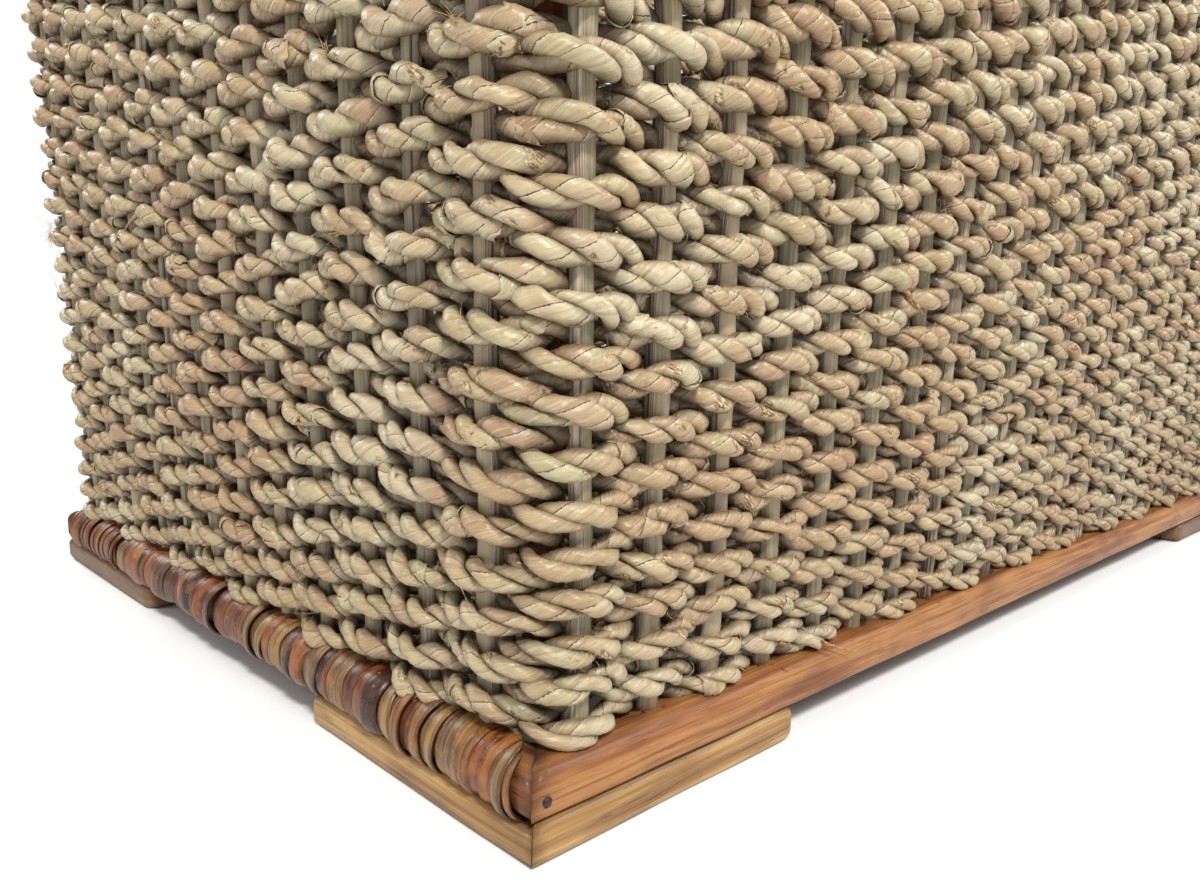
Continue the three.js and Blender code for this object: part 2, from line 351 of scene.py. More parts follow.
def weave_offset(s, row):
    """How far outside (+) or inside (-) the stakes' line the row runs, in plain weave."""
    wrapped = np.concatenate([[STAKES[-1] - RING.length], STAKES, [STAKES[0] + RING.length]])
    s = np.asarray(s) % RING.length
    s = np.where(s > wrapped[-1], s - RING.length, s)
    k = np.clip(np.searchsorted(wrapped, s, side="right") - 1, 0, len(wrapped) - 2)
    share = (s - wrapped[k]) / (wrapped[k + 1] - wrapped[k])
    sign = np.where((k + row) % 2 == 1, -1.0, 1.0)
    return WEAVE_DEPTH * sign * np.cos(math.pi * share)


def stations_between(start, end):
    """Sample places from start to end, closer together near the front left corner."""
    places = [start]
    corner = -RING.arc / 2
    while places[-1] < end:
        away = abs((places[-1] - corner + RING.length / 2) % RING.length - RING.length / 2)
        places.append(places[-1] + (FINE_STEP if away < FINE_REACH else COARSE_STEP))
    places = np.array(places)
    return start + (places - start) * (end - start) / (places[-1] - start)


# ---------------------------------------------------------------- two-ply rope

SIDES_ROUND_STRAND = 12
SLEEVE_SPACING = 65 * MM  # strand length to one open leaf end
SLEEVE_RINGS = (  # share of the sleeve's length, share of the strand's radius, depth in shadow
    (0.00, 0.94, 0.0),
    (0.30, 1.08, 0.0),
    (0.70, 1.15, 0.0),
    (0.95, 1.24, 0.0),
    (1.00, 1.25, 0.1),
    (1.00, 1.12, 0.9),
    (0.75, 0.94, 1.0),
)


def add_rope(parts, centre, normal, along, rng, length, closed, shade_of, scale=1.0,
             round_sides=SIDES_ROUND_STRAND):
    """Two strands laid round each other along a centre line. Seen from outside, they run down to
    the right. shade_of gives how deep in a crevice each point of a strand lies, from 0 to 1."""
    tangent = unit(slope(centre, closed))
    side = unit(normal - (normal * tangent).sum(1, keepdims=True) * tangent)
    upward = np.cross(side, tangent)
    turns = max(1, round(length / (2 * HALF_LAY * scale)))
    phase = -2 * math.pi * turns * along / length
    phase += 0.40 * waves(along, length, 0.05, 0.30, rng) + 2 * math.pi * rng.random()
    swell = scale * (1 + 0.06 * waves(along, length, 0.03, 0.12, rng))
    theta = -math.pi + 2 * math.pi * np.arange(round_sides) / round_sides
    for strand in (0, 1):
        angle = phase + math.pi * strand
        out = np.cos(angle)[:, None] * side + np.sin(angle)[:, None] * upward
        spread = STRAND_OFFSET * (1 + 0.08 * waves(along, length, 0.02, 0.08, rng)) * swell
        line = centre + spread[:, None] * out
        forward = unit(slope(line, closed))
        first = unit(out - (out * forward).sum(1, keepdims=True) * forward)
        second = np.cross(forward, first)
        size = STRAND_RADIUS * swell * (1 + 0.09 * waves(along, length, 0.012, 0.07, rng))
        if not closed:
            size = size * end_rounding(len(along))
        leaf = length / max(1, round(length / LEAF_TURN))
        turns_along = along / leaf + 0.12 * waves(along, length, 0.02, 0.1, rng) + int(rng.integers(900))
        wound = turns_along[:, None] + LEAF_STARTS * theta[None, :] / (2 * math.pi)
        lumps = leaf_lumps(wound, theta, along, length, rng)
        radius = size[:, None] * lumps
        flatness = 1.06 + 0.10 * waves(along, length, 0.016, 0.06, rng)[:, None]
        flat = (radius * np.cos(theta) / flatness)[:, :, None] * first[:, None, :]
        wide = (radius * np.sin(theta) * flatness)[:, :, None] * second[:, None, :]
        grid = line[:, None, :] + flat + wide
        u = np.append(turns_along, turns_along[0] + length / leaf) if closed else turns_along
        parts.add_grid(grid, u, closed_u=closed, tone=rng.random(), shade=shade_of(grid), cap=not closed)
        skeleton = np.concatenate([line, first, second, size[:, None]], axis=1)
        add_sleeves(parts, along, skeleton, theta, rng)


def add_sleeves(parts, along, skeleton, theta, rng):
    """Open leaf ends: short ragged sleeves that stand off the strand at one end, with painted shade inside.
    Each row of the skeleton holds the strand's centre, its two cross directions and its radius."""
    share, radius, shade = np.array(SLEEVE_RINGS).T
    for _ in range(int(along[-1] / SLEEVE_SPACING)):
        way = rng.choice([-1, 1])
        start = rng.uniform(0.01, along[-1] - 0.01)
        slant = rng.uniform(0.5, 1.8) * MM * np.cos(theta - rng.uniform(-math.pi, math.pi))
        ragged = 0.3 * MM * np.cos(4 * theta + 7 * rng.random())
        ragged += 0.15 * MM * np.cos(7 * theta + 7 * rng.random())
        reach = rng.uniform(4, 9) * MM + slant + ragged
        at = start + way * share[:, None] * reach[None, :]
        values = np.stack([np.interp(at, along, column) for column in skeleton.T], axis=-1)
        standing = rng.uniform(0.4, 1.2)
        size = values[:, :, 9:] * (1 + (radius[:, None, None] - 1) * standing)
        across = np.cos(theta)[None, :, None] * values[:, :, 3:6] / 1.04
        upward = np.sin(theta)[None, :, None] * values[:, :, 6:9] * 1.04
        grid = (values[:, :, :3] + size * (across + upward))[::way]
        u = (at.mean(axis=1) / LEAF_TURN)[::way]
        # Painted shade on the sleeve's inner lip.
        depth = np.broadcast_to(shade[::way, None], grid.shape[:2])
        parts.add_grid(grid, u, tone=rng.random(), shade=depth, cap=True)


def leaf_lumps(wound, theta, along, length, rng):
    """Radius of a strand, as a share: the leaf's overlapping turns and soft flats and dents."""
    turn = np.floor(wound)
    step = (np.sin(turn * 12.9898) * 43758.5453) % 1.0
    lumps = 1 + (0.03 + 0.10 * step**3) * (1 - (wound - turn)) - 0.03
    for around, shortest in ((1, 0.012), (2, 0.010), (2, 0.006), (3, 0.007)):
        twist = 2 * math.pi * rng.random() + 1.5 * waves(along, length, shortest, 4 * shortest, rng, 5)
        lumps += 0.022 * np.cos(around * theta[None, :] + twist[:, None])
    return lumps


def end_rounding(count):
    """Strand size near the two ends of an open rope."""
    from_end = np.minimum(np.arange(count), np.arange(count)[::-1])
    return np.sqrt(np.clip((from_end + 0.4) / 2.5, 0.05, 1))


# ---------------------------------------------------------------- material helpers


class Nodes:
    """Short names for the shader nodes that the materials are written in."""

    def __init__(self, name):
        self.material = bpy.data.materials.new(name)
        self.material.use_nodes = True
        self.tree = self.material.node_tree
        self.shader = self.tree.nodes["Principled BSDF"]

    def node(self, kind, **settings):
        made = self.tree.nodes.new(kind)
        for key, value in settings.items():
            setattr(made, key, value)
        return made

    def feed(self, socket, value):
        if isinstance(value, bpy.types.NodeSocket):
            self.tree.links.new(value, socket)
        else:
            socket.default_value = value

    def math(self, operation, a, b=0.0, c=0.0):
        made = self.node("ShaderNodeMath", operation=operation)
        for socket, value in zip(made.inputs, (a, b, c)):
            self.feed(socket, value)
        return made.outputs[0]

    def grain(self):
        """Length along the piece in centimetres, and the place round it from 0 to 1."""
        split = self.node("ShaderNodeSeparateXYZ")
        self.feed(split.inputs[0], self.node("ShaderNodeUVMap", uv_map="grain").outputs[0])
        return split.outputs[0], split.outputs[1]

    def vector(self, x, y, z):
        made = self.node("ShaderNodeCombineXYZ")
        for socket, value in zip(made.inputs, (x, y, z)):
            self.feed(socket, value)
        return made.outputs[0]

    def times(self, a, b):
        return self.math("MULTIPLY", a, b)

    def distance(self, a, b):
        """How far apart two numbers are."""
        return self.math("ABSOLUTE", self.math("SUBTRACT", a, b))

    def total(self, *terms):
        """The sum of sockets, each times its own number."""
        result = 0.0
        for socket, factor in terms:
            result = self.math("MULTIPLY_ADD", socket, factor, result)
        return result

    def object_place(self):
        """Where a point is, in metres, on the object."""
        return self.node("ShaderNodeTexCoord").outputs["Object"]

    def value(self, name):
        """One of the mesh's own named values."""
        return self.node("ShaderNodeAttribute", attribute_name=name).outputs["Fac"]

    def noise(self, vector, scale, detail=2.0, roughness=0.5, distortion=0.0):
        made = self.node("ShaderNodeTexNoise")
        self.feed(made.inputs["Vector"], vector)
        made.inputs["Scale"].default_value = scale
        made.inputs["Detail"].default_value = detail
        made.inputs["Roughness"].default_value = roughness
        made.inputs["Distortion"].default_value = distortion
        return made.outputs["Fac"]

    def random(self, value):
        made = self.node("ShaderNodeTexWhiteNoise", noise_dimensions="1D")
        self.feed(made.inputs["W"], value)
        return made.outputs["Value"]

    def ramp(self, value, stops):
        made = self.node("ShaderNodeValToRGB")
        self.feed(made.inputs[0], value)
        band = made.color_ramp
        while len(band.elements) < len(stops):
            band.elements.new(0.5)
        for element, (place, colour) in zip(band.elements, stops):
            element.position = place
            element.color = (*colour, 1)
        return made.outputs[0]

    def span(self, value, low, high, to_low=0.0, to_high=1.0):
        made = self.node("ShaderNodeMapRange", clamp=True)
        for socket, number in zip(made.inputs, (value, low, high, to_low, to_high)):
            self.feed(socket, number)
        return made.outputs[0]

    def mix(self, share, a, b):
        made = self.node("ShaderNodeMix", data_type="RGBA")
        self.feed(made.inputs[0], share)
        self.feed(made.inputs[6], a if isinstance(a, bpy.types.NodeSocket) else (*a, 1))
        self.feed(made.inputs[7], b if isinstance(b, bpy.types.NodeSocket) else (*b, 1))
        return made.outputs[2]

    def tint(self, colour, code, value, low, high, most=1.0):
        """The colour turned towards another, at most by a share, as a value goes from low to high."""
        return self.mix(self.span(value, low, high, 0.0, most), colour, srgb(code))

    def bump(self, height, strength, distance):
        made = self.node("ShaderNodeBump")
        made.inputs["Strength"].default_value = strength
        made.inputs["Distance"].default_value = distance
        self.feed(made.inputs["Height"], height)
        return made.outputs[0]

    def finish(self, colour, roughness, normal=None, coat=0.0, specular=0.5):
        self.feed(self.shader.inputs["Base Color"], colour)
        self.feed(self.shader.inputs["Roughness"], roughness)
        self.shader.inputs["Coat Weight"].default_value = coat
        self.shader.inputs["Coat Roughness"].default_value = 0.25
        self.shader.inputs["Specular IOR Level"].default_value = specular
        if normal is not None:
            self.feed(self.shader.inputs["Normal"], normal)
        return self.material


def srgb(code):
    """A colour from its usual hex code, in linear light."""
    parts = [int(code[i : i + 2], 16) / 255 for i in (0, 2, 4)]
    return tuple(c / 12.92 if c <= 0.04045 else ((c + 0.055) / 1.055) ** 2.4 for c in parts)


# ---------------------------------------------------------------- materials


class Leaf:
    """Where a point of a strand lies on the leaf that is wound round it."""

    def __init__(self, n):
        self.n = n
        self.along, self.around = n.grain()
        self.tone = n.value("tone")
        self.seed = n.times(self.tone, 90.0)
        self.wound = n.math("ADD", self.along, n.times(self.around, LEAF_STARTS))
        self.turn = n.math("FLOOR", self.wound)
        self.across = n.math("FRACT", self.wound)
        angle = n.times(self.around, 2 * math.pi)
        self.place = n.vector(
            n.math("ADD", n.times(self.along, 0.46), self.seed),
            n.times(n.math("COSINE", angle), 0.3),
            n.times(n.math("SINE", angle), 0.3),
        )
        self.blotch = n.noise(self.place, 1.5, detail=3.0)

    def noise(self, length, by_length, by_girth, detail, roughness=0.5):
        """Noise with its own scales along the given length and round the strand."""
        n = self.n
        long_way = n.times(length, by_length)
        round_way = n.times(self.around, by_girth)
        return n.noise(n.vector(long_way, round_way, self.seed), 1.0, detail, roughness)


def straw_colour(n, leaf):
    """Colour by stretch of strand, then by leaf, then blotches, then by region of the wall."""
    stretch = n.noise(n.vector(n.times(leaf.along, 0.16), leaf.seed, 0.0), 1.0, 2.0)
    straw = n.ramp(
        stretch,
        [
            (0.27, srgb("917255")),
            (0.37, srgb("a78b6b")),
            (0.45, srgb("ae9a75")),
            (0.54, srgb("baa983")),
            (0.63, srgb("aba37c")),
            (0.74, srgb("c8c0a0")),
        ],
    )
    leaf_tint = n.random(n.math("ADD", leaf.turn, n.times(leaf.tone, 37.0)))
    straw = n.tint(straw, "9d7e60", leaf_tint, 0.50, 1.0, 0.34)
    straw = n.tint(straw, "94704f", leaf.blotch, 0.50, 0.74, 0.50)
    green = n.times(n.math("LESS_THAN", leaf_tint, 0.12), n.span(leaf.blotch, 0.5, 0.3))
    straw = n.mix(n.times(green, 0.6), straw, srgb("8b9070"))
    place_on_wall = n.object_place()
    region = n.noise(place_on_wall, 15.0, detail=2.0)
    straw = n.tint(straw, "a7835f", region, 0.50, 0.64, 0.60)
    straw = n.tint(straw, "cbc1a5", region, 0.46, 0.34, 0.55)
    split = n.node("ShaderNodeSeparateXYZ")
    n.feed(split.inputs["Vector"], place_on_wall)
    # Darker towards the bottom rows.
    low_rows = n.span(split.outputs["Z"], 0.16, 0.02, 0.06, 0.26)
    return n.mix(low_rows, straw, srgb("6f5636"))


def leaf_edges(n, leaf, colour):
    """Leaf edges: some missing, some faint, some dark, all a little toothed, with a painted shadow under
    each and a painted highlight over each. Returns the colour, the edge and how far one leaf stands off the
    next."""
    strength = n.random(n.math("ADD", leaf.turn, leaf.seed))
    teeth = n.noise(n.vector(n.times(leaf.around, 26.0), leaf.wound, leaf.seed), 1.0, 2.0)
    width = n.span(strength, 0.25, 1.0, 0.015, 0.065)
    width = n.times(width, n.span(teeth, 0.30, 0.70, 0.3, 1.6))
    edge = n.math("LESS_THAN", leaf.across, width)
    edge = n.times(edge, n.span(strength, 0.25, 0.60, 0.0, 0.92))
    shaded = n.span(strength, 0.2, 0.7, 0.0, 0.45)
    # Painted shadow just before each edge, where the overlapping leaf shades it.
    shadow_under_edge = n.times(n.span(leaf.across, 0.72, 1.0), shaded)
    colour = n.mix(shadow_under_edge, colour, srgb("7c5c3c"))
    lit = n.span(strength, 0.2, 0.7, 0.0, 0.30)
    # Painted highlight just after each edge, on the raised turn of leaf.
    highlight_over_edge = n.times(n.span(leaf.across, 0.28, 0.06), lit)
    colour = n.mix(highlight_over_edge, colour, srgb("ded4b8"))
    colour = n.mix(edge, colour, srgb("35261a"))
    standing = n.span(strength, 0.2, 1.0, 0.2, 1.0)
    step = n.times(n.math("SUBTRACT", 1.0, leaf.across), standing)
    return colour, edge, step


def leaf_rope_material():
    """Strands wound from leaf: satin straw, green-grey and tan, streaked along each slanting leaf,
    with thin dark leaf edges, painted shade and highlight beside them, and painted shade in the crevices.
    Along the strand the grain counts leaf turns."""
    n = Nodes("leaf_rope")
    leaf = Leaf(n)

    # Streaks run the way the leaf does.
    streaks = leaf.noise(leaf.wound, 6.0, 1.3, 3.0, 0.6)
    threads = leaf.noise(leaf.wound, 20.0, 2.0, 2.0, 0.6)
    colour = n.tint(straw_colour(n, leaf), "7f6344", streaks, 0.46, 0.72, 0.40)
    colour = n.tint(colour, "d8ceb2", threads, 0.48, 0.72, 0.35)
    colour, edge, step = leaf_edges(n, leaf, colour)

    # Frayed patches, rare holes where a leaf has torn, and painted shade on the strands' inner sides and in
    # the crevices.
    frayed = n.span(n.noise(leaf.place, 0.9, detail=2.0), 0.645, 0.68)
    frays = leaf.noise(leaf.along, 3.0, 22.0, 3.0, 0.7)
    fray_colour = n.ramp(frays, [(0.40, srgb("4a3321")), (0.50, srgb("927049")), (0.60, srgb("dccda6"))])
    colour = n.mix(n.times(frayed, 0.85), colour, fray_colour)
    torn = leaf.noise(leaf.wound, 2.0, 5.0, 3.0, 0.7)
    colour = n.tint(colour, "2c2015", torn, 0.735, 0.76, 0.9)
    # Painted shade on the side of each strand that faces the rope's centre.
    turned_in_shade = n.span(n.distance(leaf.around, 0.5), 0.25, 0.46)
    colour = n.mix(n.times(turned_in_shade, 0.72), colour, srgb("4a3622"))
    # Painted shade from the mesh's shade values, by the stakes and between the rows.
    colour = n.tint(colour, "413020", n.value("shade"), 0.30, 1.0, 0.80)

    crease = n.distance(leaf.noise(leaf.wound, 2.2, 1.1, 1.0), 0.5)
    ragged = n.times(frayed, frays)
    height = n.total(
        (step, 0.9), (streaks, 0.40), (leaf.blotch, 0.6), (threads, 0.12), (crease, 2.0), (ragged, 1.5),
        (edge, -0.5),
    )
    satin = n.span(streaks, 0.3, 0.75, 0.27, 0.50)
    roughness = n.math("MAXIMUM", satin, n.times(frayed, 0.75))
    return n.finish(colour, roughness, n.bump(height, 0.75, 0.0008), specular=0.45)


def bar_material(name, shades, coat, knots):
    """Peeled rattan: streaks, cracks and pores along the bar, blotches, and dark scars. The shades
    are the dark, middle and light wood and the fine grain."""
    n = Nodes(name)
    dark, middle, light, grain = map(srgb, shades)
    along, around = n.grain()
    seed = n.times(n.value("tone"), 60.0)
    shifted = n.math("ADD", along, seed)

    def stretched(by_length, by_girth, detail, roughness=0.6, distortion=0.0):
        place = n.vector(n.times(shifted, by_length), n.times(around, by_girth), seed)
        return n.noise(place, 1.0, detail, roughness, distortion)

    streak = stretched(0.07, 13.0, 5.0, 0.65, 0.2)
    fine = stretched(0.12, 75.0, 4.0)
    blotch = stretched(0.22, 2.5, 3.0)
    colour = n.ramp(streak, [(0.30, dark), (0.44, middle), (0.56, light), (0.70, middle)])
    colour = n.mix(n.span(blotch, 0.46, 0.70, 0.0, 0.65), colour, dark)
    colour = n.mix(n.span(fine, 0.50, 0.72, 0.0, 0.60), colour, grain)
    crack = stretched(0.10, 30.0, 3.0, 0.5)
    cracked = n.span(n.distance(crack, 0.5), 0.014, 0.0)
    cracked = n.times(cracked, n.span(blotch, 0.42, 0.60))
    colour = n.mix(n.times(cracked, 0.75), colour, srgb("2e1a0e"))
    pores = stretched(1.2, 110.0, 2.0, 0.5)
    colour = n.tint(colour, "331e10", pores, 0.68, 0.76, 0.6)
    scar = stretched(0.9, 4.0, 4.0, 0.7, 0.8)
    colour = n.tint(colour, "26160b", scar, 0.68, 0.75, knots)
    # Tones above 0.8 turn grey-brown: painted shade on the two shaded feet, a random grey tone on posts,
    # battens and sills.
    grey_tone_and_shade = n.span(n.value("tone"), 0.80, 0.95, 0.0, 0.72)
    colour = n.mix(grey_tone_and_shade, colour, srgb("5a4335"))
    # Painted shade from the mesh's shade values: at the joints, under the rope and in the seam.
    colour = n.tint(colour, "2a190d", n.value("shade"), 0.0, 1.0, 0.85)
    height = n.total((streak, 0.8), (fine, 0.4), (n.span(pores, 0.66, 0.74), -0.4), (cracked, -0.6))
    roughness = n.span(fine, 0.3, 0.75, 0.42, 0.62)
    return n.finish(colour, roughness, n.bump(height, 0.5, 0.0006), coat=coat, specular=0.35)


def peel_material():
    """Wound strips of rattan peel, each its own brown, streaked along the strip and scuffed, with painted
    shade along their low edges.
    """
    n = Nodes("rattan_peel")
    along, across = n.grain()
    tone = n.value("tone")
    seed = n.times(tone, 80.0)
    colour = n.ramp(
        tone,
        [
            (0.00, srgb("2a160d")),
            (0.16, srgb("552b16")),
            (0.32, srgb("713a19")),
            (0.48, srgb("8a4c20")),
            (0.62, srgb("825428")),
            (0.74, srgb("5f4632")),
            (0.86, srgb("94713f")),
            (1.00, srgb("4a2817")),
        ],
    )

    def stretched(by_length, by_width, detail, roughness=0.6):
        place = n.vector(n.times(along, by_length), n.times(across, by_width), seed)
        return n.noise(place, 1.0, detail, roughness)

    streak = stretched(0.5, 11.0, 4.0)
    blotch = stretched(1.3, 1.6, 4.0)
    colour = n.tint(colour, "2b150a", streak, 0.44, 0.62, 0.75)
    colour = n.tint(colour, "a96f37", blotch, 0.50, 0.68, 0.50)
    scuff = stretched(4.0, 9.0, 3.0, 0.7)
    colour = n.tint(colour, "b9925f", scuff, 0.62, 0.72, 0.6)
    speck = stretched(6.0, 8.0, 2.0)
    colour = n.tint(colour, "170d07", speck, 0.68, 0.73, 0.85)
    # Painted shade from the mesh's shade values, along each strip's low edges.
    colour = n.tint(colour, "1c100a", n.value("shade"), 0.1, 1.0, 0.92)
    height = n.total((streak, 0.9), (blotch, 0.5), (scuff, 0.2))
    roughness = n.span(blotch, 0.3, 0.7, 0.24, 0.44)
    return n.finish(colour, roughness, n.bump(height, 0.7, 0.0006), coat=0.1, specular=0.4)


def splint_material():
    """Split cane: an olive skin on one face, and pale cut faces with dark fibres."""
    n = Nodes("splint")
    along, around = n.grain()
    tone = n.value("tone")
    seed = n.times(tone, 50.0)
    long_place = n.math("ADD", n.times(along, 0.10), seed)
    fibre = n.noise(n.vector(long_place, n.times(around, 34.0), seed), 1.0, 4.0, 0.65)
    patch = n.noise(n.vector(n.math("ADD", n.times(along, 0.5), seed), around, 0.0), 1.0, 3.0)
    cut = n.ramp(
        fibre,
        [(0.38, srgb("4a3b30")), (0.45, srgb("9a8672")), (0.52, srgb("c6b59f")), (0.66, srgb("dacdb6"))],
    )
    skin = n.mix(n.span(patch, 0.35, 0.65), srgb("8a8163"), srgb("b3a785"))
    skin = n.tint(skin, "594d38", fibre, 0.42, 0.60, 0.65)
    skin = n.tint(skin, "b19e80", tone, 0.30, 0.80, 0.9)
    on_skin = n.math("LESS_THAN", n.distance(around, 0.5), 0.13)
    colour = n.mix(on_skin, cut, skin)
    grime = n.noise(n.vector(n.times(along, 0.9), around, seed), 1.0, 3.0)
    colour = n.tint(colour, "54463a", grime, 0.45, 0.70, 0.45)
    height = n.times(fibre, n.math("SUBTRACT", 1.2, on_skin))
    return n.finish(colour, n.span(fibre, 0.3, 0.7, 0.38, 0.6), n.bump(height, 0.6, 0.0006))


def nail_material():
    """Dull dark iron with a little brown bloom."""
    n = Nodes("nail_iron")
    bloom = n.noise(n.object_place(), 900.0, detail=4.0)
    colour = n.ramp(bloom, [(0.35, srgb("2b2421")), (0.55, srgb("453a34")), (0.72, srgb("5e4636"))])
    material = n.finish(colour, n.span(bloom, 0.3, 0.7, 0.38, 0.65), n.bump(bloom, 0.5, 0.0002))
    n.shader.inputs["Metallic"].default_value = 0.75
    return material


def fibre_material(name, shades):
    """Loose fibre: dull and mottled. The shades are the dark, middle and light fibre."""
    n = Nodes(name)
    dark, middle, light = map(srgb, shades)
    spot = n.noise(n.object_place(), 700.0, detail=3.0)
    colour = n.ramp(spot, [(0.35, dark), (0.52, middle), (0.70, light)])
    return n.finish(colour, n.span(spot, 0.3, 0.7, 0.5, 0.75), n.bump(spot, 0.4, 0.0003))


ROPE = leaf_rope_material()
RAIL = bar_material("varnished_rattan", ("5f3417", "844e25", "a5733f", "522c14"), coat=0.08, knots=0.5)
FOOT = bar_material("pale_rattan", ("755230", "9d7745", "b99662", "5f4123"), coat=0.05, knots=0.35)
PEEL = peel_material()
SPLINT = splint_material()
NAIL = nail_material()
TORN = fibre_material("torn_fibre", ("5f2812", "97491d", "bd7640"))
STRAY = fibre_material("stray_fibre", ("8c6f4a", "bfa578", "dccba4"))
HUSK = fibre_material("leaf_husk", ("6b4a2c", "a37c4e", "c9a878"))


# ---------------------------------------------------------------- the woven wall

GRIP_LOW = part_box("grip_sill_left")[1].z  # top of the sill


def grip_flanks():
    """Ring places of the stakes beside the hand gaps: (enter, leave) on the right and on the left.
    Each gap takes up the room over the two middle stakes of its side."""
    before = SHORT_STAKES // 2 - 2
    after = SHORT_STAKES // 2 + 1
    return [(SIDE_STAKES[side][before], SIDE_STAKES[side][after]) for side in ("right", "left")]


def turn_round(stake, way, row):
    """A short hook that takes a rope's end round a flanking stake to its other side."""
    side = np.sign(weave_offset(np.array([stake]), row))[0]
    angle = np.linspace(0, math.radians(200), 9)[1:]
    along = stake + way * WEAVE_DEPTH * np.sin(angle)
    offset = side * WEAVE_DEPTH * np.cos(angle)
    return along, offset


def wall_shade(stake_line, normal):
    """How far a point of a strand lies in the crevices: by the stakes, or against the next row."""
    def shade_of(grid):
        away = grid - stake_line[:, None, :]
        depth = np.abs((away * normal[:, None, :]).sum(2))
        rise = np.abs(away[:, :, 2])
        by_stakes = np.clip(1.15 - depth / (5.5 * MM), 0, 1)
        by_rows = np.clip((rise - 2.4 * MM) / (2.6 * MM), 0, 1)
        return 1 - (1 - by_stakes) * (1 - 0.8 * by_rows)

    return shade_of


def add_row(parts, row, z, rng):
    """One row of the wall: a whole ring, or two lengths where the hand gaps cut it."""
    gapped = z > GRIP_LOW + 2 * MM
    if not gapped:
        spans = [(0.0, RING.length)]
    else:
        (right_in, right_out), (left_in, left_out) = grip_flanks()
        spans = [(left_out - RING.length, right_in), (right_out, left_in)]
    for start, end in spans:
        s = stations_between(start, end)
        if not gapped:
            s = s[:-1]
        offset = weave_offset(s, row)
        if gapped:
            head_s, head_o = turn_round(start, -1, row)
            tail_s, tail_o = turn_round(end, 1, row)
            s = np.concatenate([head_s[::-1], s, tail_s])
            offset = np.concatenate([head_o[::-1], offset, tail_o])
        flat = crowned(s, z) + 0.8 * MM * waves(s, RING.length, 0.03, 0.2, rng)
        offset = offset + 0.6 * MM * waves(s, RING.length, 0.03, 0.15, rng)
        point, normal = RING.at(s)
        stake_line = point * growth(flat)[:, None]
        stake_line[:, 2] = flat
        centre = stake_line + normal * offset[:, None]
        length = RING.length if not gapped else s[-1] - s[0]
        size = np.interp(z, (ROW_FLOOR, (ROW_FLOOR + ROW_CEILING) / 2, ROW_CEILING), ROW_SWELL)
        add_rope(parts, centre, normal, s, rng, length, not gapped, wall_shade(stake_line, normal), size)


def make_wall():
    """The wall's rows, one object for each."""
    for index, z in enumerate(row_heights()):
        parts = Parts()
        add_row(parts, index + 1, z, random_for("rope_row", index))
        row = parts.finish(f"rope_row_{index + 1:02d}", ROPE, "leaf_rope")
        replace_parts(row, "woven_wall")


# ---------------------------------------------------------------- loose fibres

HAIR_WIDTH = 0.32 * MM
HUSK_WIDTH = 3.0 * MM
TORN_WIDTH = 1.7 * MM
TUFT_SPACING = 16 * MM  # length of side to one tuft, and so on
STRAY_SPACING = 1.1 * MM
HUSK_SPACING = 70 * MM


def add_hair(parts, root, way, length, width, rng, tone):
    """A thin curved fibre with three sides, tapering to its tip."""
    share = np.linspace(0, 1, 7)
    bend = rng.normal(0, 0.55, 3) * length
    line = root + length * share[:, None] * way + (share**2)[:, None] * bend
    forward = unit(slope(line, False))
    side = unit(np.cross(forward, np.array([0.3, 0.5, 0.8])))
    other = np.cross(forward, side)
    theta = 2 * math.pi * np.arange(3) / 3
    size = width / 2 * (1 - 0.8 * share)
    ring = np.cos(theta)[None, :, None] * side[:, None, :]
    ring = ring + 0.5 * np.sin(theta)[None, :, None] * other[:, None, :]
    grid = line[:, None, :] + size[:, None, None] * ring
    parts.add_grid(grid, 40 + 3 * share, tone=tone, cap=True)


def hump(rng, side, heights):
    """A random place on one side where a row passes outside a stake: its surface point, outward
    normal and the way along the wall."""
    stakes = SIDE_STAKES[side]
    row = int(rng.integers(1, len(heights) + 1))
    outside = stakes[weave_offset(stakes, row) > 0]
    s = np.array([rng.choice(outside) + rng.normal(0, 4) * MM])
    z = crowned(s, heights[row - 1]) + rng.normal(0, 1.8) * MM
    point, normal = RING.at(s)
    out = WEAVE_DEPTH + STRAND_OFFSET + 0.75 * STRAND_RADIUS
    place = point * growth(z)[:, None] + normal * out
    place[:, 2] = z
    return place[0], normal[0], np.cross(UP, normal[0])


def add_tuft(parts, rng, side, heights):
    """A frayed patch: many short fibres from one worn spot of the rope."""
    centre, normal, along = hump(rng, side, heights)
    spread = rng.uniform(1.0, 3.2) * MM
    for _ in range(int(rng.integers(12, 40))):
        root = centre + rng.normal(0, spread) * along + rng.normal(0, 0.4 * spread) * UP
        way = unit(normal * rng.uniform(0.2, 0.8) + along * rng.normal(0, 0.8) + UP * rng.normal(-0.1, 0.7))
        length = rng.uniform(1.5, 5.0) * MM
        add_hair(parts, root, way, length, HAIR_WIDTH * rng.uniform(0.5, 1.0), rng, 0.5)


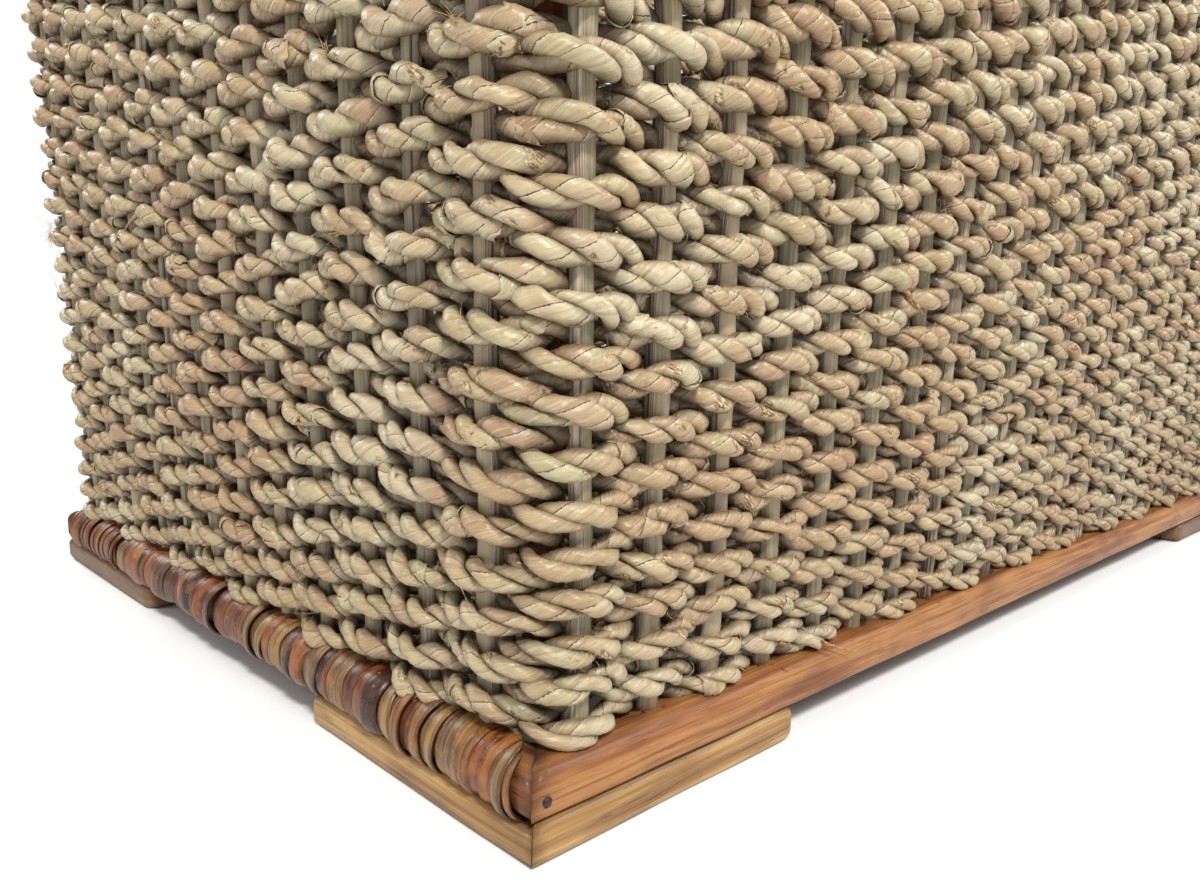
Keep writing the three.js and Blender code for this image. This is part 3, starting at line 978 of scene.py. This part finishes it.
def make_loose_fibres():
    """Stray fibres, frayed tufts and a few husk tips on every side."""
    heights = row_heights()
    for side in TURNS:
        rng = random_for("loose_fibre", TURNS[side])
        length = 2 * half_flat(side)
        parts = Parts()
        for _ in range(int(length / TUFT_SPACING)):
            add_tuft(parts, rng, side, heights)
        for _ in range(int(length / STRAY_SPACING)):
            place, normal, along = hump(rng, side, heights)
            way = unit(normal * rng.uniform(0.0, 0.5) + along * rng.normal(0, 1) + UP * rng.normal(0, 0.7))
            hair_length = rng.uniform(2, 9) * MM
            add_hair(parts, place, way, hair_length, HAIR_WIDTH * rng.uniform(0.5, 1.1), rng, 0.5)
        parts.finish(f"loose_fibres_{side}", STRAY, "leaf_rope")
        tips = Parts()
        for _ in range(int(length / HUSK_SPACING)):
            place, normal, along = hump(rng, side, heights)
            way = unit(0.35 * normal + along * rng.normal(0, 0.6) - UP * rng.uniform(0.2, 1.0))
            add_hair(tips, place - 2 * MM * normal, way, rng.uniform(8, 15) * MM, HUSK_WIDTH, rng, 0.5)
        tips.finish(f"husk_tips_{side}", HUSK, "leaf_rope")


# ---------------------------------------------------------------- stakes


def stake_section():
    """A split stake's outline: a skin face that bulges a little, and three flat cut faces."""
    w, d, e = STAKE_WIDTH / 2, STAKE_DEPTH / 2, 0.3 * MM
    return np.array(
        [
            (0.0, -d), (e - w, -d), (-w, e - d), (-w, 0.0), (-w, 0.7 * d - e), (e - w, 0.7 * d),
            (-0.4 * w, 1.05 * d), (0.4 * w, 1.05 * d), (w - e, 0.7 * d), (w, 0.7 * d - e), (w, 0.0),
            (w, e - d), (w - e, -d),
        ]
    )


def make_stakes():
    """The upright stakes, each turned, sized and bowed a little its own way."""
    section = stake_section()
    for index, s in enumerate(STAKES):
        rng = random_for("stake", index)
        under_grip = any(enter < s < leave for enter, leave in grip_flanks())
        top = GRIP_LOW - 3 * MM if under_grip else RIM["bottom"] + 6 * MM
        z = np.linspace(BASE["top"] - 5 * MM, top, 40)
        drift = 0.5 * MM * waves(z, 1.0, 0.05, 0.3, rng)
        point, normal = RING.at(np.full(len(z), s) + drift)
        yaw = math.radians(rng.uniform(-30, 30)) + 0.15 * waves(z, 1.0, 0.1, 0.5, rng, 4)
        side = np.cross(UP, normal)
        out = np.cos(yaw)[:, None] * normal + np.sin(yaw)[:, None] * side
        across = np.cos(yaw)[:, None] * side - np.sin(yaw)[:, None] * normal
        size = rng.uniform(0.88, 1.12) * (1 + 0.03 * waves(z, 1.0, 0.04, 0.2, rng))
        centre = point * growth(z)[:, None]
        centre[:, 2] = z
        grid = (
            centre[:, None, :]
            + size[:, None, None] * section[None, :, 0, None] * across[:, None, :]
            + size[:, None, None] * section[None, :, 1, None] * out[:, None, :]
        )
        parts = Parts()
        parts.add_grid(grid, z / MM / 10, tone=rng.random(), cap=True)
        parts.finish(f"stake_{index + 1:02d}", SPLINT, "splint")


def make_torn_holes():
    """Reddish torn fibre round each stake where it goes into the base rail."""
    for side in TURNS:
        rng = random_for("torn_fibre", TURNS[side])
        parts = Parts()
        for s in SIDE_STAKES[side]:
            point, normal = RING.at(np.array([s]))
            along = np.cross(UP, normal[0])
            for _ in range(int(rng.integers(7, 15))):
                angle = 2 * math.pi * rng.random()
                out = math.cos(angle) * normal[0] + math.sin(angle) * along
                root = point[0] + 3.6 * MM * out + UP * (BASE["top"] - 0.4 * MM)
                way = unit(out + UP * rng.uniform(0.0, 0.6))
                add_hair(parts, root, way, rng.uniform(2, 5) * MM, TORN_WIDTH, rng, rng.random())
        parts.finish(f"torn_fibre_{side}", TORN, "varnished_rattan")


# ---------------------------------------------------------------- rattan bars

BAR_STEP = 6 * MM  # between sample places along a rail or foot
GRAIN_GIRTH = 80  # millimetres round a bar to one turn of its grain
BAR_WAVE = 0.22 * MM  # how far a bar strays from straight
FREE_END_RADIUS = 6 * MM
MITRE_GAP = 0.12 * MM
RAIL_ROUNDS = (3.2 * MM, 6.5 * MM)  # lower and upper edges
WRAPPED_ROUNDS = (6.0 * MM, 8.5 * MM)
FOOT_ROUNDS = (3.4 * MM, 3.8 * MM)
# Feet painted a darker grey-brown as shade.
SHADED_FEET = ("foot_back_left_short", "foot_front_right_long")
SHADE_TONE = 0.95  # bar_material greys tones above 0.8
PLAIN_TONE = 0.7  # the greatest tone of the rails and the other feet


def side_to_world(side, where, s, t, z):
    """From a side's own axes (s along it, t in from its outer face) to the basket's."""
    depth = where["half_y"] if side in LONG_SIDES else where["half_x"]
    x, y = s, t - depth
    angle = TURNS[side] * math.pi / 2
    c, k = round(math.cos(angle)), round(math.sin(angle))
    return np.stack([c * x - k * y, k * x + c * y, z], -1)


def rounded_section(t0, t1, z0, z1, lower, upper, per_corner=7):
    """A rectangle in (t, z) with rounded lower and upper edges, walked from the bottom of the outer
    face up and over."""
    corners = [
        (t0 + lower, z0 + lower, lower, 1.5), (t0 + upper, z1 - upper, upper, 1.0),
        (t1 - upper, z1 - upper, upper, 0.5), (t1 - lower, z0 + lower, lower, 0.0),
    ]
    points = []
    for t, z, radius, start in corners:
        for angle in math.pi * start - np.linspace(0, math.pi / 2, per_corner):
            points.append((t + radius * math.cos(angle), z + radius * math.sin(angle)))
    return np.array(points)


def perimeter(section):
    """Distance round a closed outline at each point, and once round."""
    steps = np.linalg.norm(np.roll(section, -1, axis=0) - section, axis=1)
    return np.concatenate([[0], np.cumsum(steps)])


def bar_grid(section, start, end, rng, free_end):
    """A bar's surface in side axes, and the length along it. start and end give the cut at each t.
    A free end ("start", "end" or None) is worn round."""
    middle = section.mean(axis=0)
    length = abs(end(middle[0]) - start(middle[0]))
    count = max(4, round(length / BAR_STEP))
    share = np.linspace(0, 1, count + 1)
    worn = FREE_END_RADIUS / length
    if free_end == "start":
        share = np.concatenate([np.linspace(0, 1, 7)[:-1] * worn, share[share > worn]])
    if free_end == "end":
        share = np.concatenate([share[share < 1 - worn], 1 - np.linspace(1, 0, 7) * worn])
    s0 = np.array([start(t) for t in section[:, 0]])
    s1 = np.array([end(t) for t in section[:, 0]])
    s = s0[None, :] * (1 - share[:, None]) + s1[None, :] * share[:, None]
    along = share * length
    from_end = {"start": along, "end": length - along, None: np.full_like(along, np.inf)}
    near = np.clip(1 - from_end[free_end] / FREE_END_RADIUS, 0, 1)
    draw_in = 0.75 * FREE_END_RADIUS * (1 - np.sqrt(1 - near**2))
    inward = unit(middle - section)
    wave_t = BAR_WAVE * waves(along, 2.0, 0.05, 0.4, rng)
    wave_z = 0.6 * BAR_WAVE * waves(along, 2.0, 0.05, 0.4, rng)
    t = section[None, :, 0] + draw_in[:, None] * inward[None, :, 0] + wave_t[:, None]
    z = section[None, :, 1] + draw_in[:, None] * inward[None, :, 1] + wave_z[:, None]
    return s, t, z, along


def bar_parts(side, where, section, cuts, rng, tone, free_end=None):
    """A rail or foot on one side of a frame, in the basket's axes, between its two cuts."""
    s, t, z, along = bar_grid(section, *cuts, rng, free_end)
    grid = side_to_world(side, where, s, t, z)
    shade = painted_joint_shade(s, t, z, where, half_length(side, where))
    parts = Parts()
    round_v = perimeter(section) / MM / GRAIN_GIRTH
    parts.add_grid(grid, along / MM / 10, round_v, tone=tone, shade=shade, cap=True)
    return parts


def mitre_cuts(half):
    """The mitred start and end of a bar that runs the whole side."""
    return (lambda t: -half + max(t, 0.0) + MITRE_GAP), (lambda t: half - max(t, 0.0) - MITRE_GAP)


def rail_section(side, where):
    """The short rails are rounder, for the peel to go round."""
    rounds = RAIL_ROUNDS if side in LONG_SIDES else WRAPPED_ROUNDS
    return rounded_section(0.0, RAIL_WIDTH, where["bottom"], where["top"], *rounds)


def painted_joint_shade(s, t, z, where, half):
    """Painted shade where the rails meet, most of all on the short rails' bare ends, a painted shadow
    under the rope along the stake line on top, and painted shade in the seam above the feet."""
    to_mitre = half - np.abs(s) - t
    on_top = np.clip((z - where["top"] + 1.5 * MM) / (1.5 * MM), 0, 1)
    reach = 8 * MM if half > where["half_y"] else 16 * MM
    joint = np.clip(1 - to_mitre / reach, 0, 1) * (0.5 + 0.5 * on_top * (t > 2 * MM))
    # Painted shadow of the rope on the rail's top.
    under_rope = 0.55 * on_top * np.clip(1 - np.abs(t - STAKE_INSET) / (7 * MM), 0, 1)
    # Painted shade in the seam between rail and foot.
    seam = 0.6 * np.clip(1 - np.abs(z - BASE["bottom"]) / (2.2 * MM), 0, 1)
    return np.clip(np.maximum(np.maximum(joint, under_rope), seam), 0, 1)


def make_rails():
    """The four mitred rails of each frame."""
    for prefix, where, seed_step in FRAMES:
        for side in TURNS:
            rng = random_for("rail", TURNS[side] + seed_step)
            tone = PLAIN_TONE * rng.random()
            cuts = mitre_cuts(half_length(side, where))
            node = f"{prefix}_rail_{side}"
            rail = bar_parts(side, where, rail_section(side, where), cuts, rng, tone)
            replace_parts(rail.finish(f"smooth_{node}", RAIL, "varnished_rattan"), node)


def make_feet():
    """Two arms under each corner, mitred where they meet and worn round at their free ends."""
    order = list(TURNS)
    for index, side in enumerate(order):
        long_side = side in LONG_SIDES
        half = half_length(side, BASE)
        at_start, at_end = mitre_cuts(half)
        for way, other in ((1, order[(index + 1) % 4]), (-1, order[(index + 3) % 4])):
            node = f"foot_{side}_{other}_long" if long_side else f"foot_{other}_{side}_short"
            low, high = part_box(node)
            length = high.x - low.x if long_side else high.y - low.y
            top = high.z if long_side else high.z - 1.2 * MM
            section = rounded_section(0.0, RAIL_WIDTH, low.z, top, *FOOT_ROUNDS)
            rng = random_for("foot", 2 * index + (way > 0))
            tone = SHADE_TONE if node in SHADED_FEET else PLAIN_TONE * rng.random()
            if way > 0:
                free_end, cuts = "start", ((lambda t: half - length), at_end)
            else:
                free_end, cuts = "end", (at_start, (lambda t: -half + length))
            foot = bar_parts(side, BASE, section, cuts, rng, tone, free_end)
            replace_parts(foot.finish(f"smooth_{node}", FOOT, "pale_rattan"), node)


# ---------------------------------------------------------------- wound peel

PEEL_THICKNESS = 1.9 * MM
BAND_WIDTHS = (3.4 * MM, 9.6 * MM)
BAND_STEPS = 50  # sample places round the rail
BAND_OUTLINE = (  # place across the band and height of its surface, as shares of half width and thickness
    (-1.0, 0.0), (-0.94, 0.60), (-0.70, 0.86), (-0.25, 1.0), (0.20, 0.98), (0.65, 0.88), (0.94, 0.60),
    (1.0, 0.0), (0.6, -0.1), (-0.6, -0.1),
)
WRAP_MARGIN = 10 * MM  # bare rail at each end


def add_band(parts, side, where, section, centre, width, rng, stop_t):
    """One turn of peel round a rail: an arched, ribbed strip that leans, curls and overlaps its
    neighbours. It starts and ends under the rail, or where it meets the mitre (stop_t)."""
    outline = np.concatenate([section, section[:1]])
    length = perimeter(section)
    reach = np.linspace(0, length[-1] * 1.02, BAND_STEPS)
    around = reach % length[-1]
    t = np.interp(around, length, outline[:, 0])
    z = np.interp(around, length, outline[:, 1])
    kept = int(np.argmax(t > stop_t)) if (t > stop_t).any() else len(t)
    if kept < 8:
        return
    reach, around, t, z = reach[:kept], around[:kept], t[:kept], z[:kept]
    direction = unit(np.gradient(np.stack([t, z], -1), axis=0))
    normal = np.stack([-direction[:, 1], direction[:, 0]], -1)
    share = around / length[-1]
    crossing = rng.random() < 0.2
    lean = rng.normal(0, 6.0 * MM if crossing else 2.4 * MM)
    middle = centre + lean * (share - 0.3) * 2 + rng.normal(0, 0.9 * MM) * np.sin(2 * math.pi * share)
    looseness = rng.uniform(0.6 if crossing else 0, 1.1) ** 2 * MM
    lift = 0.25 * MM + looseness * (0.55 + 0.45 * np.sin(2 * math.pi * (share + rng.random())))
    across, height = np.array(BAND_OUTLINE).T
    ribs = np.zeros(len(across))
    ribs[2:6] = rng.uniform(-0.35, 0.15, 4)
    tilt = rng.uniform(-0.55, 0.55)
    half_width = width / 2 * (1 + 0.08 * waves(reach, 0.1, 0.01, 0.05, rng, 4))
    if kept < BAND_STEPS:
        half_width *= np.sqrt(np.clip((kept - 0.6 - np.arange(kept)) / 4, 0.05, 1))
    thickness = PEEL_THICKNESS * (0.65 + 0.35 * width / BAND_WIDTHS[1])
    out = lift[:, None] + thickness * (height + ribs + tilt * across + abs(tilt))[None, :]
    s = middle[:, None] + half_width[:, None] * across[None, :]
    grid = side_to_world(
        side, where, s, t[:, None] + out * normal[:, 0, None], z[:, None] + out * normal[:, 1, None]
    )
    # Painted shade along the band's low edges, where it lies against the rail and its neighbours.
    shade = np.broadcast_to(np.clip(1.0 - 1.25 * height, 0, 1)[None, :], grid.shape[:2])
    parts.add_grid(grid, reach / MM / 10, tone=rng.random(), shade=shade, cap=True)


def wrap_parts(side, where, rng):
    """The winding on one short rail. Near the mitres the turns only cross the outer and top faces."""
    section = rail_section(side, where)
    half = half_length(side, where)
    parts = Parts()
    centre = -half + WRAP_MARGIN
    while centre < half - WRAP_MARGIN:
        width = rng.uniform(*BAND_WIDTHS)
        centre += width * 0.46
        room = half - abs(centre) - width / 2
        stop = room - 1.5 * MM if room < RAIL_WIDTH + 3 * MM else 1.0
        add_band(parts, side, where, section, centre, width * 1.04, rng, stop)
        centre += width * 0.46 + rng.uniform(-0.6, 0.6) * MM
    return parts


def make_wraps():
    """The winding on the short rails of both frames."""
    for side in ("left", "right"):
        for prefix, where, seed_step in FRAMES:
            wrap = wrap_parts(side, where, random_for("wrap", TURNS[side] + seed_step))
            node = f"{prefix}_wrap_{side}"
            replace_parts(wrap.finish(f"peel_{prefix}_{side}", PEEL, "rattan_peel"), node)


# ---------------------------------------------------------------- posts, battens, sills, bottom

POST_RADIUS = 7 * MM
POST_SIDES = 24
BOTTOM_SPLINTS = 21
BOTTOM_PITCH = 7.6 * MM  # between the ropes of the bottom
BOTTOM_ROPE_SCALE = 0.72  # to the wall's rope
POST_NOTCH = 15 * MM  # the bottom's outer ropes and splints stop short of the posts


def post_parts(low, high, x_sign, y_sign, rng):
    """A round pole with joints, leaning out with the wall from one corner of its box to the other."""
    xs = (low.x, high.x) if x_sign > 0 else (high.x, low.x)
    ys = (low.y, high.y) if y_sign > 0 else (high.y, low.y)
    inward = POST_RADIUS * np.array([x_sign, y_sign, 0])
    foot = np.array([xs[0], ys[0], low.z]) + inward
    head = np.array([xs[1], ys[1], high.z]) - inward
    share = np.linspace(0, 1, 90)
    height = share * (head[2] - foot[2])
    joint = np.exp(-(((height + 0.03) % 0.14 - 0.07) / 0.0035) ** 2)
    size = POST_RADIUS * (0.97 + 0.05 * joint + 0.01 * waves(height, 2.0, 0.03, 0.2, rng))
    size[[0, -1]] *= 0.93
    theta = np.linspace(0, 2 * math.pi, POST_SIDES, endpoint=False)
    centre = foot[None, :] * (1 - share[:, None]) + head[None, :] * share[:, None]
    ring = np.stack([np.cos(theta), -np.sin(theta), np.zeros_like(theta)], -1)
    grid = centre[:, None, :] + size[:, None, None] * ring[None, :, :]
    round_v = np.linspace(0, 1, POST_SIDES + 1) * 0.55
    parts = Parts()
    parts.add_grid(grid, height / MM / 10, round_v, tone=rng.random(), cap=True)
    return parts


def make_posts():
    """The corner posts inside the wall."""
    for y_name, y_sign in (("front", -1), ("back", 1)):
        for x_name, x_sign in (("left", -1), ("right", 1)):
            node = f"corner_post_{y_name}_{x_name}"
            low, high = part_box(node)
            rng = random_for("post", 2 * (x_sign > 0) + (y_sign > 0))
            post = post_parts(low, high, x_sign, y_sign, rng)
            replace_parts(post.finish(f"smooth_{node}", RAIL, "varnished_rattan"), node)


def straight_bar(name, low, high, radius, material, rng):
    """A rounded bar along Y in the given box."""
    half = (high.y - low.y) / 2
    section = rounded_section(low.x, high.x, low.z, high.z, radius, radius, 5)
    share = np.linspace(-half, half, max(8, round(half / 4 / MM)))
    wave = 0.25 * MM * waves(share + half, 2.0, 0.04, 0.3, rng)
    grid = np.stack(
        [
            section[None, :, 0] + wave[:, None],
            np.broadcast_to(share[:, None], (len(share), len(section))),
            np.broadcast_to(section[None, :, 1], (len(share), len(section))),
        ],
        -1,
    )[:, ::-1]
    parts = Parts()
    round_v = perimeter(section) / MM / GRAIN_GIRTH
    parts.add_grid(grid, (share + half) / MM / 10, round_v, tone=rng.random(), cap=True)
    return parts.finish(name, material, "splint")


def make_battens_and_sills():
    """The battens under the bottom and the sills of the hand gaps."""
    bars = [(f"bottom_batten_{index}", 2.2 * MM, random_for("batten", index)) for index in (1, 2, 3)]
    for index, name in enumerate(("left", "right")):
        bars.append((f"grip_sill_{name}", 2.6 * MM, random_for("sill", index)))
    for node, radius, rng in bars:
        low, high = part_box(node)
        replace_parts(straight_bar(f"smooth_{node}", low, high, radius, FOOT, rng), node)


def make_bottom():
    """The woven bottom: thinner rope along X, over and under splints along Y."""
    low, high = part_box("bottom_panel")
    middle = (low.z + high.z) / 2
    splints = np.linspace(low.x + 12 * MM, high.x - 12 * MM, BOTTOM_SPLINTS)
    pitch = splints[1] - splints[0]
    for index, y in enumerate(np.arange(low.y + 5 * MM, high.y - 4 * MM, BOTTOM_PITCH)):
        rng = random_for("bottom_rope", index)
        inset = POST_NOTCH if min(y - low.y, high.y - y) < 18 * MM else 0.0
        x = np.arange(low.x + 3 * MM + inset, high.x - 3 * MM - inset, 3.4 * MM)
        swing = np.cos(math.pi * (x - splints[0]) / pitch) * (1 if index % 2 else -1)
        centre = np.stack([x, np.full_like(x, y), middle + 2.3 * MM * swing], -1)
        centre[:, 1] += 0.3 * MM * waves(x, 2.0, 0.03, 0.1, rng)
        normal = np.tile(UP, (len(x), 1))
        parts = Parts()
        add_rope(
            parts, centre, normal, x - x[0], rng, x[-1] - x[0], closed=False,
            shade_of=lambda grid: 0.15, scale=BOTTOM_ROPE_SCALE, round_sides=8,
        )
        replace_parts(parts.finish(f"bottom_rope_{index + 1:02d}", ROPE, "leaf_rope"), "bottom_panel")
    for index, x in enumerate(splints):
        rng = random_for("bottom_splint", index)
        edge = POST_NOTCH if index in (0, BOTTOM_SPLINTS - 1) else 2 * MM
        bar_low = Vector((x - 3 * MM, low.y + edge, middle - 1.2 * MM))
        bar_high = Vector((x + 3 * MM, high.y - edge, middle + 1.2 * MM))
        straight_bar(f"bottom_splint_{index + 1:02d}", bar_low, bar_high, 1.1 * MM, SPLINT, rng)


# ---------------------------------------------------------------- nails

NAIL_LENGTH = 20 * MM
NAIL_SIDES = 20
NAIL_PROFILE = (  # radius and height, from the head's middle to the point, as shares of the head's radius
    (0.0, 0.10), (0.55, 0.06), (0.88, -0.02), (1.0, -0.16), (0.96, -0.32), (0.53, -0.38), (0.5, -0.5),
    (0.5, -9.6), (0.28, -10.8), (0.02, -11.7),
)


def nail_way(node, centre):
    """The way a nail is driven, from its head to its point."""
    if "sole" in node:
        return Vector((0, 0, 1))
    if "post" in node:
        return Vector((math.copysign(1, centre.x), math.copysign(1, centre.y), 0)).normalized()
    return Vector((0, -math.copysign(1, centre.y), 0))


def nail_parts(radius, turn, head, rng):
    """A hand-made nail with a dented round head."""
    theta = np.linspace(0, 2 * math.pi, NAIL_SIDES, endpoint=False)
    circle = np.stack([np.cos(theta), -np.sin(theta)], -1)
    rows = []
    for share, height in NAIL_PROFILE:
        dent = 1 + 0.04 * np.sin(3 * theta + 6 * rng.random())
        level = np.full((NAIL_SIDES, 1), height * radius)
        rows.append(np.concatenate([share * radius * dent[:, None] * circle, level], axis=1))
    rows[0][:, :2] = 0.02 * radius * circle
    grid = np.array(rows) @ np.array(turn).T + np.array(head)
    parts = Parts()
    parts.add_grid(grid, np.arange(len(rows)) * 0.1, cap=True)
    return parts


def make_nails():
    """A shaped nail in the place of each nail of the CAD."""
    for node in sorted(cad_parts):
        if "nail" not in node:
            continue
        low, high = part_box(node)
        centre, size = (low + high) / 2, high - low
        way = nail_way(node, centre)
        turn = way.to_track_quat("-Z", "Y").to_matrix()
        rng = np.random.default_rng(sum(map(ord, node)))
        nail = nail_parts(min(size) / 2, turn, centre - way * NAIL_LENGTH / 2, rng)
        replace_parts(nail.finish(f"smooth_{node}", NAIL, "nail_iron"), node)


# ---------------------------------------------------------------- stage, light and camera


def make_floor():
    """A pale floor that fades into the white background."""
    mesh = bpy.data.meshes.new("floor")
    reach = 4.0
    corners = [(-reach, -reach, 0), (reach, -reach, 0), (reach, reach, 0), (-reach, reach, 0)]
    mesh.from_pydata(corners, [], [(0, 1, 2, 3)])
    floor = bpy.data.objects.new("floor", mesh)
    bpy.context.scene.collection.objects.link(floor)
    n = Nodes("pale_floor")
    place = n.object_place()
    spot = n.noise(place, 9.0, detail=3.0)
    n.finish(n.ramp(spot, [(0.3, (0.86, 0.86, 0.86)), (0.7, (0.90, 0.90, 0.90))]), 0.7)
    away = n.node("ShaderNodeVectorMath", operation="LENGTH")
    n.feed(away.inputs[0], place)
    clear = n.node("ShaderNodeBsdfTransparent")
    fade = n.node("ShaderNodeMixShader")
    n.feed(fade.inputs[0], n.span(away.outputs["Value"], 0.9, 2.2))
    n.feed(fade.inputs[1], n.shader.outputs[0])
    n.feed(fade.inputs[2], clear.outputs[0])
    n.feed(n.tree.nodes["Material Output"].inputs["Surface"], fade.outputs[0])
    mesh.materials.append(n.material)


def area_light(name, place, aim, size, power, colour=(1, 1, 1)):
    """A soft lamp of the given size in metres and power in watts, turned towards its aim."""
    light = bpy.data.lights.new(name, "AREA")
    light.shape = "RECTANGLE"
    light.size, light.size_y = size
    light.energy = power
    light.color = colour
    lamp = bpy.data.objects.new(name, light)
    lamp.location = place
    lamp.rotation_euler = (Vector(aim) - Vector(place)).to_track_quat("-Z", "Y").to_euler()
    bpy.context.scene.collection.objects.link(lamp)


def make_light():
    """A soft studio: a dim white fill, a white background that only the camera sees, and five lamps."""
    world = bpy.data.worlds.new("studio")
    world.use_nodes = True
    tree = world.node_tree
    fill = tree.nodes["Background"]
    fill.inputs["Color"].default_value = (1, 1, 1, 1)
    fill.inputs["Strength"].default_value = 0.46
    backdrop = tree.nodes.new("ShaderNodeBackground")
    backdrop.inputs["Color"].default_value = (1, 1, 1, 1)
    seen = tree.nodes.new("ShaderNodeLightPath")
    choice = tree.nodes.new("ShaderNodeMixShader")
    tree.links.new(seen.outputs["Is Camera Ray"], choice.inputs[0])
    tree.links.new(fill.outputs[0], choice.inputs[1])
    tree.links.new(backdrop.outputs[0], choice.inputs[2])
    tree.links.new(choice.outputs[0], tree.nodes["World Output"].inputs["Surface"])
    bpy.context.scene.world = world
    area_light("key", (-1.1, -1.5, 1.8), (-0.2, -0.1, 0.2), (0.36, 0.30), 51, (1.0, 0.985, 0.96))
    area_light("side", (1.5, -1.7, 1.8), (0.1, -0.1, 0.2), (0.7, 0.7), 36)
    area_light("back", (-0.6, 2.2, 1.6), (0, 0, 0.25), (1.2, 1.0), 30)
    area_light("left", (-1.9, 0.5, 0.9), (-0.3, 0, 0.2), (1.2, 1.0), 5)
    area_light("top", (0.2, 0.1, 2.4), (0, 0, 0.1), (1.6, 1.2), 12)


def make_camera():
    """The photo's own view."""
    data = bpy.data.cameras.new("camera")
    data.sensor_width = CAMERA_SENSOR
    data.lens = CAMERA_LENS
    data.shift_x, data.shift_y = CAMERA_SHIFT
    data.clip_start = 0.01
    camera = bpy.data.objects.new("camera", data)
    corner = Vector((-BASE["half_x"], -BASE["half_y"], 0))
    a, p, r = CAMERA_HEADING, CAMERA_DIP, CAMERA_ROLL
    ahead = Vector((math.cos(p) * math.cos(a), math.cos(p) * math.sin(a), -math.sin(p)))
    right = Vector((math.sin(a), -math.cos(a), 0))
    down = ahead.cross(right)
    across = math.cos(r) * right + math.sin(r) * down
    below = -math.sin(r) * right + math.cos(r) * down
    turn = Matrix((across, -below, -ahead)).transposed()
    camera.matrix_world = Matrix.Translation(corner + CAMERA_FROM_CORNER) @ turn.to_4x4()
    bpy.context.scene.collection.objects.link(camera)
    bpy.context.scene.camera = camera


# ---------------------------------------------------------------- all of it

make_wall()
make_loose_fibres()
make_stakes()
make_torn_holes()
make_rails()
make_feet()
make_wraps()
make_posts()
make_battens_and_sills()
make_bottom()
make_nails()
make_floor()
make_light()
make_camera()

bpy.context.scene.view_settings.view_transform = "Standard"
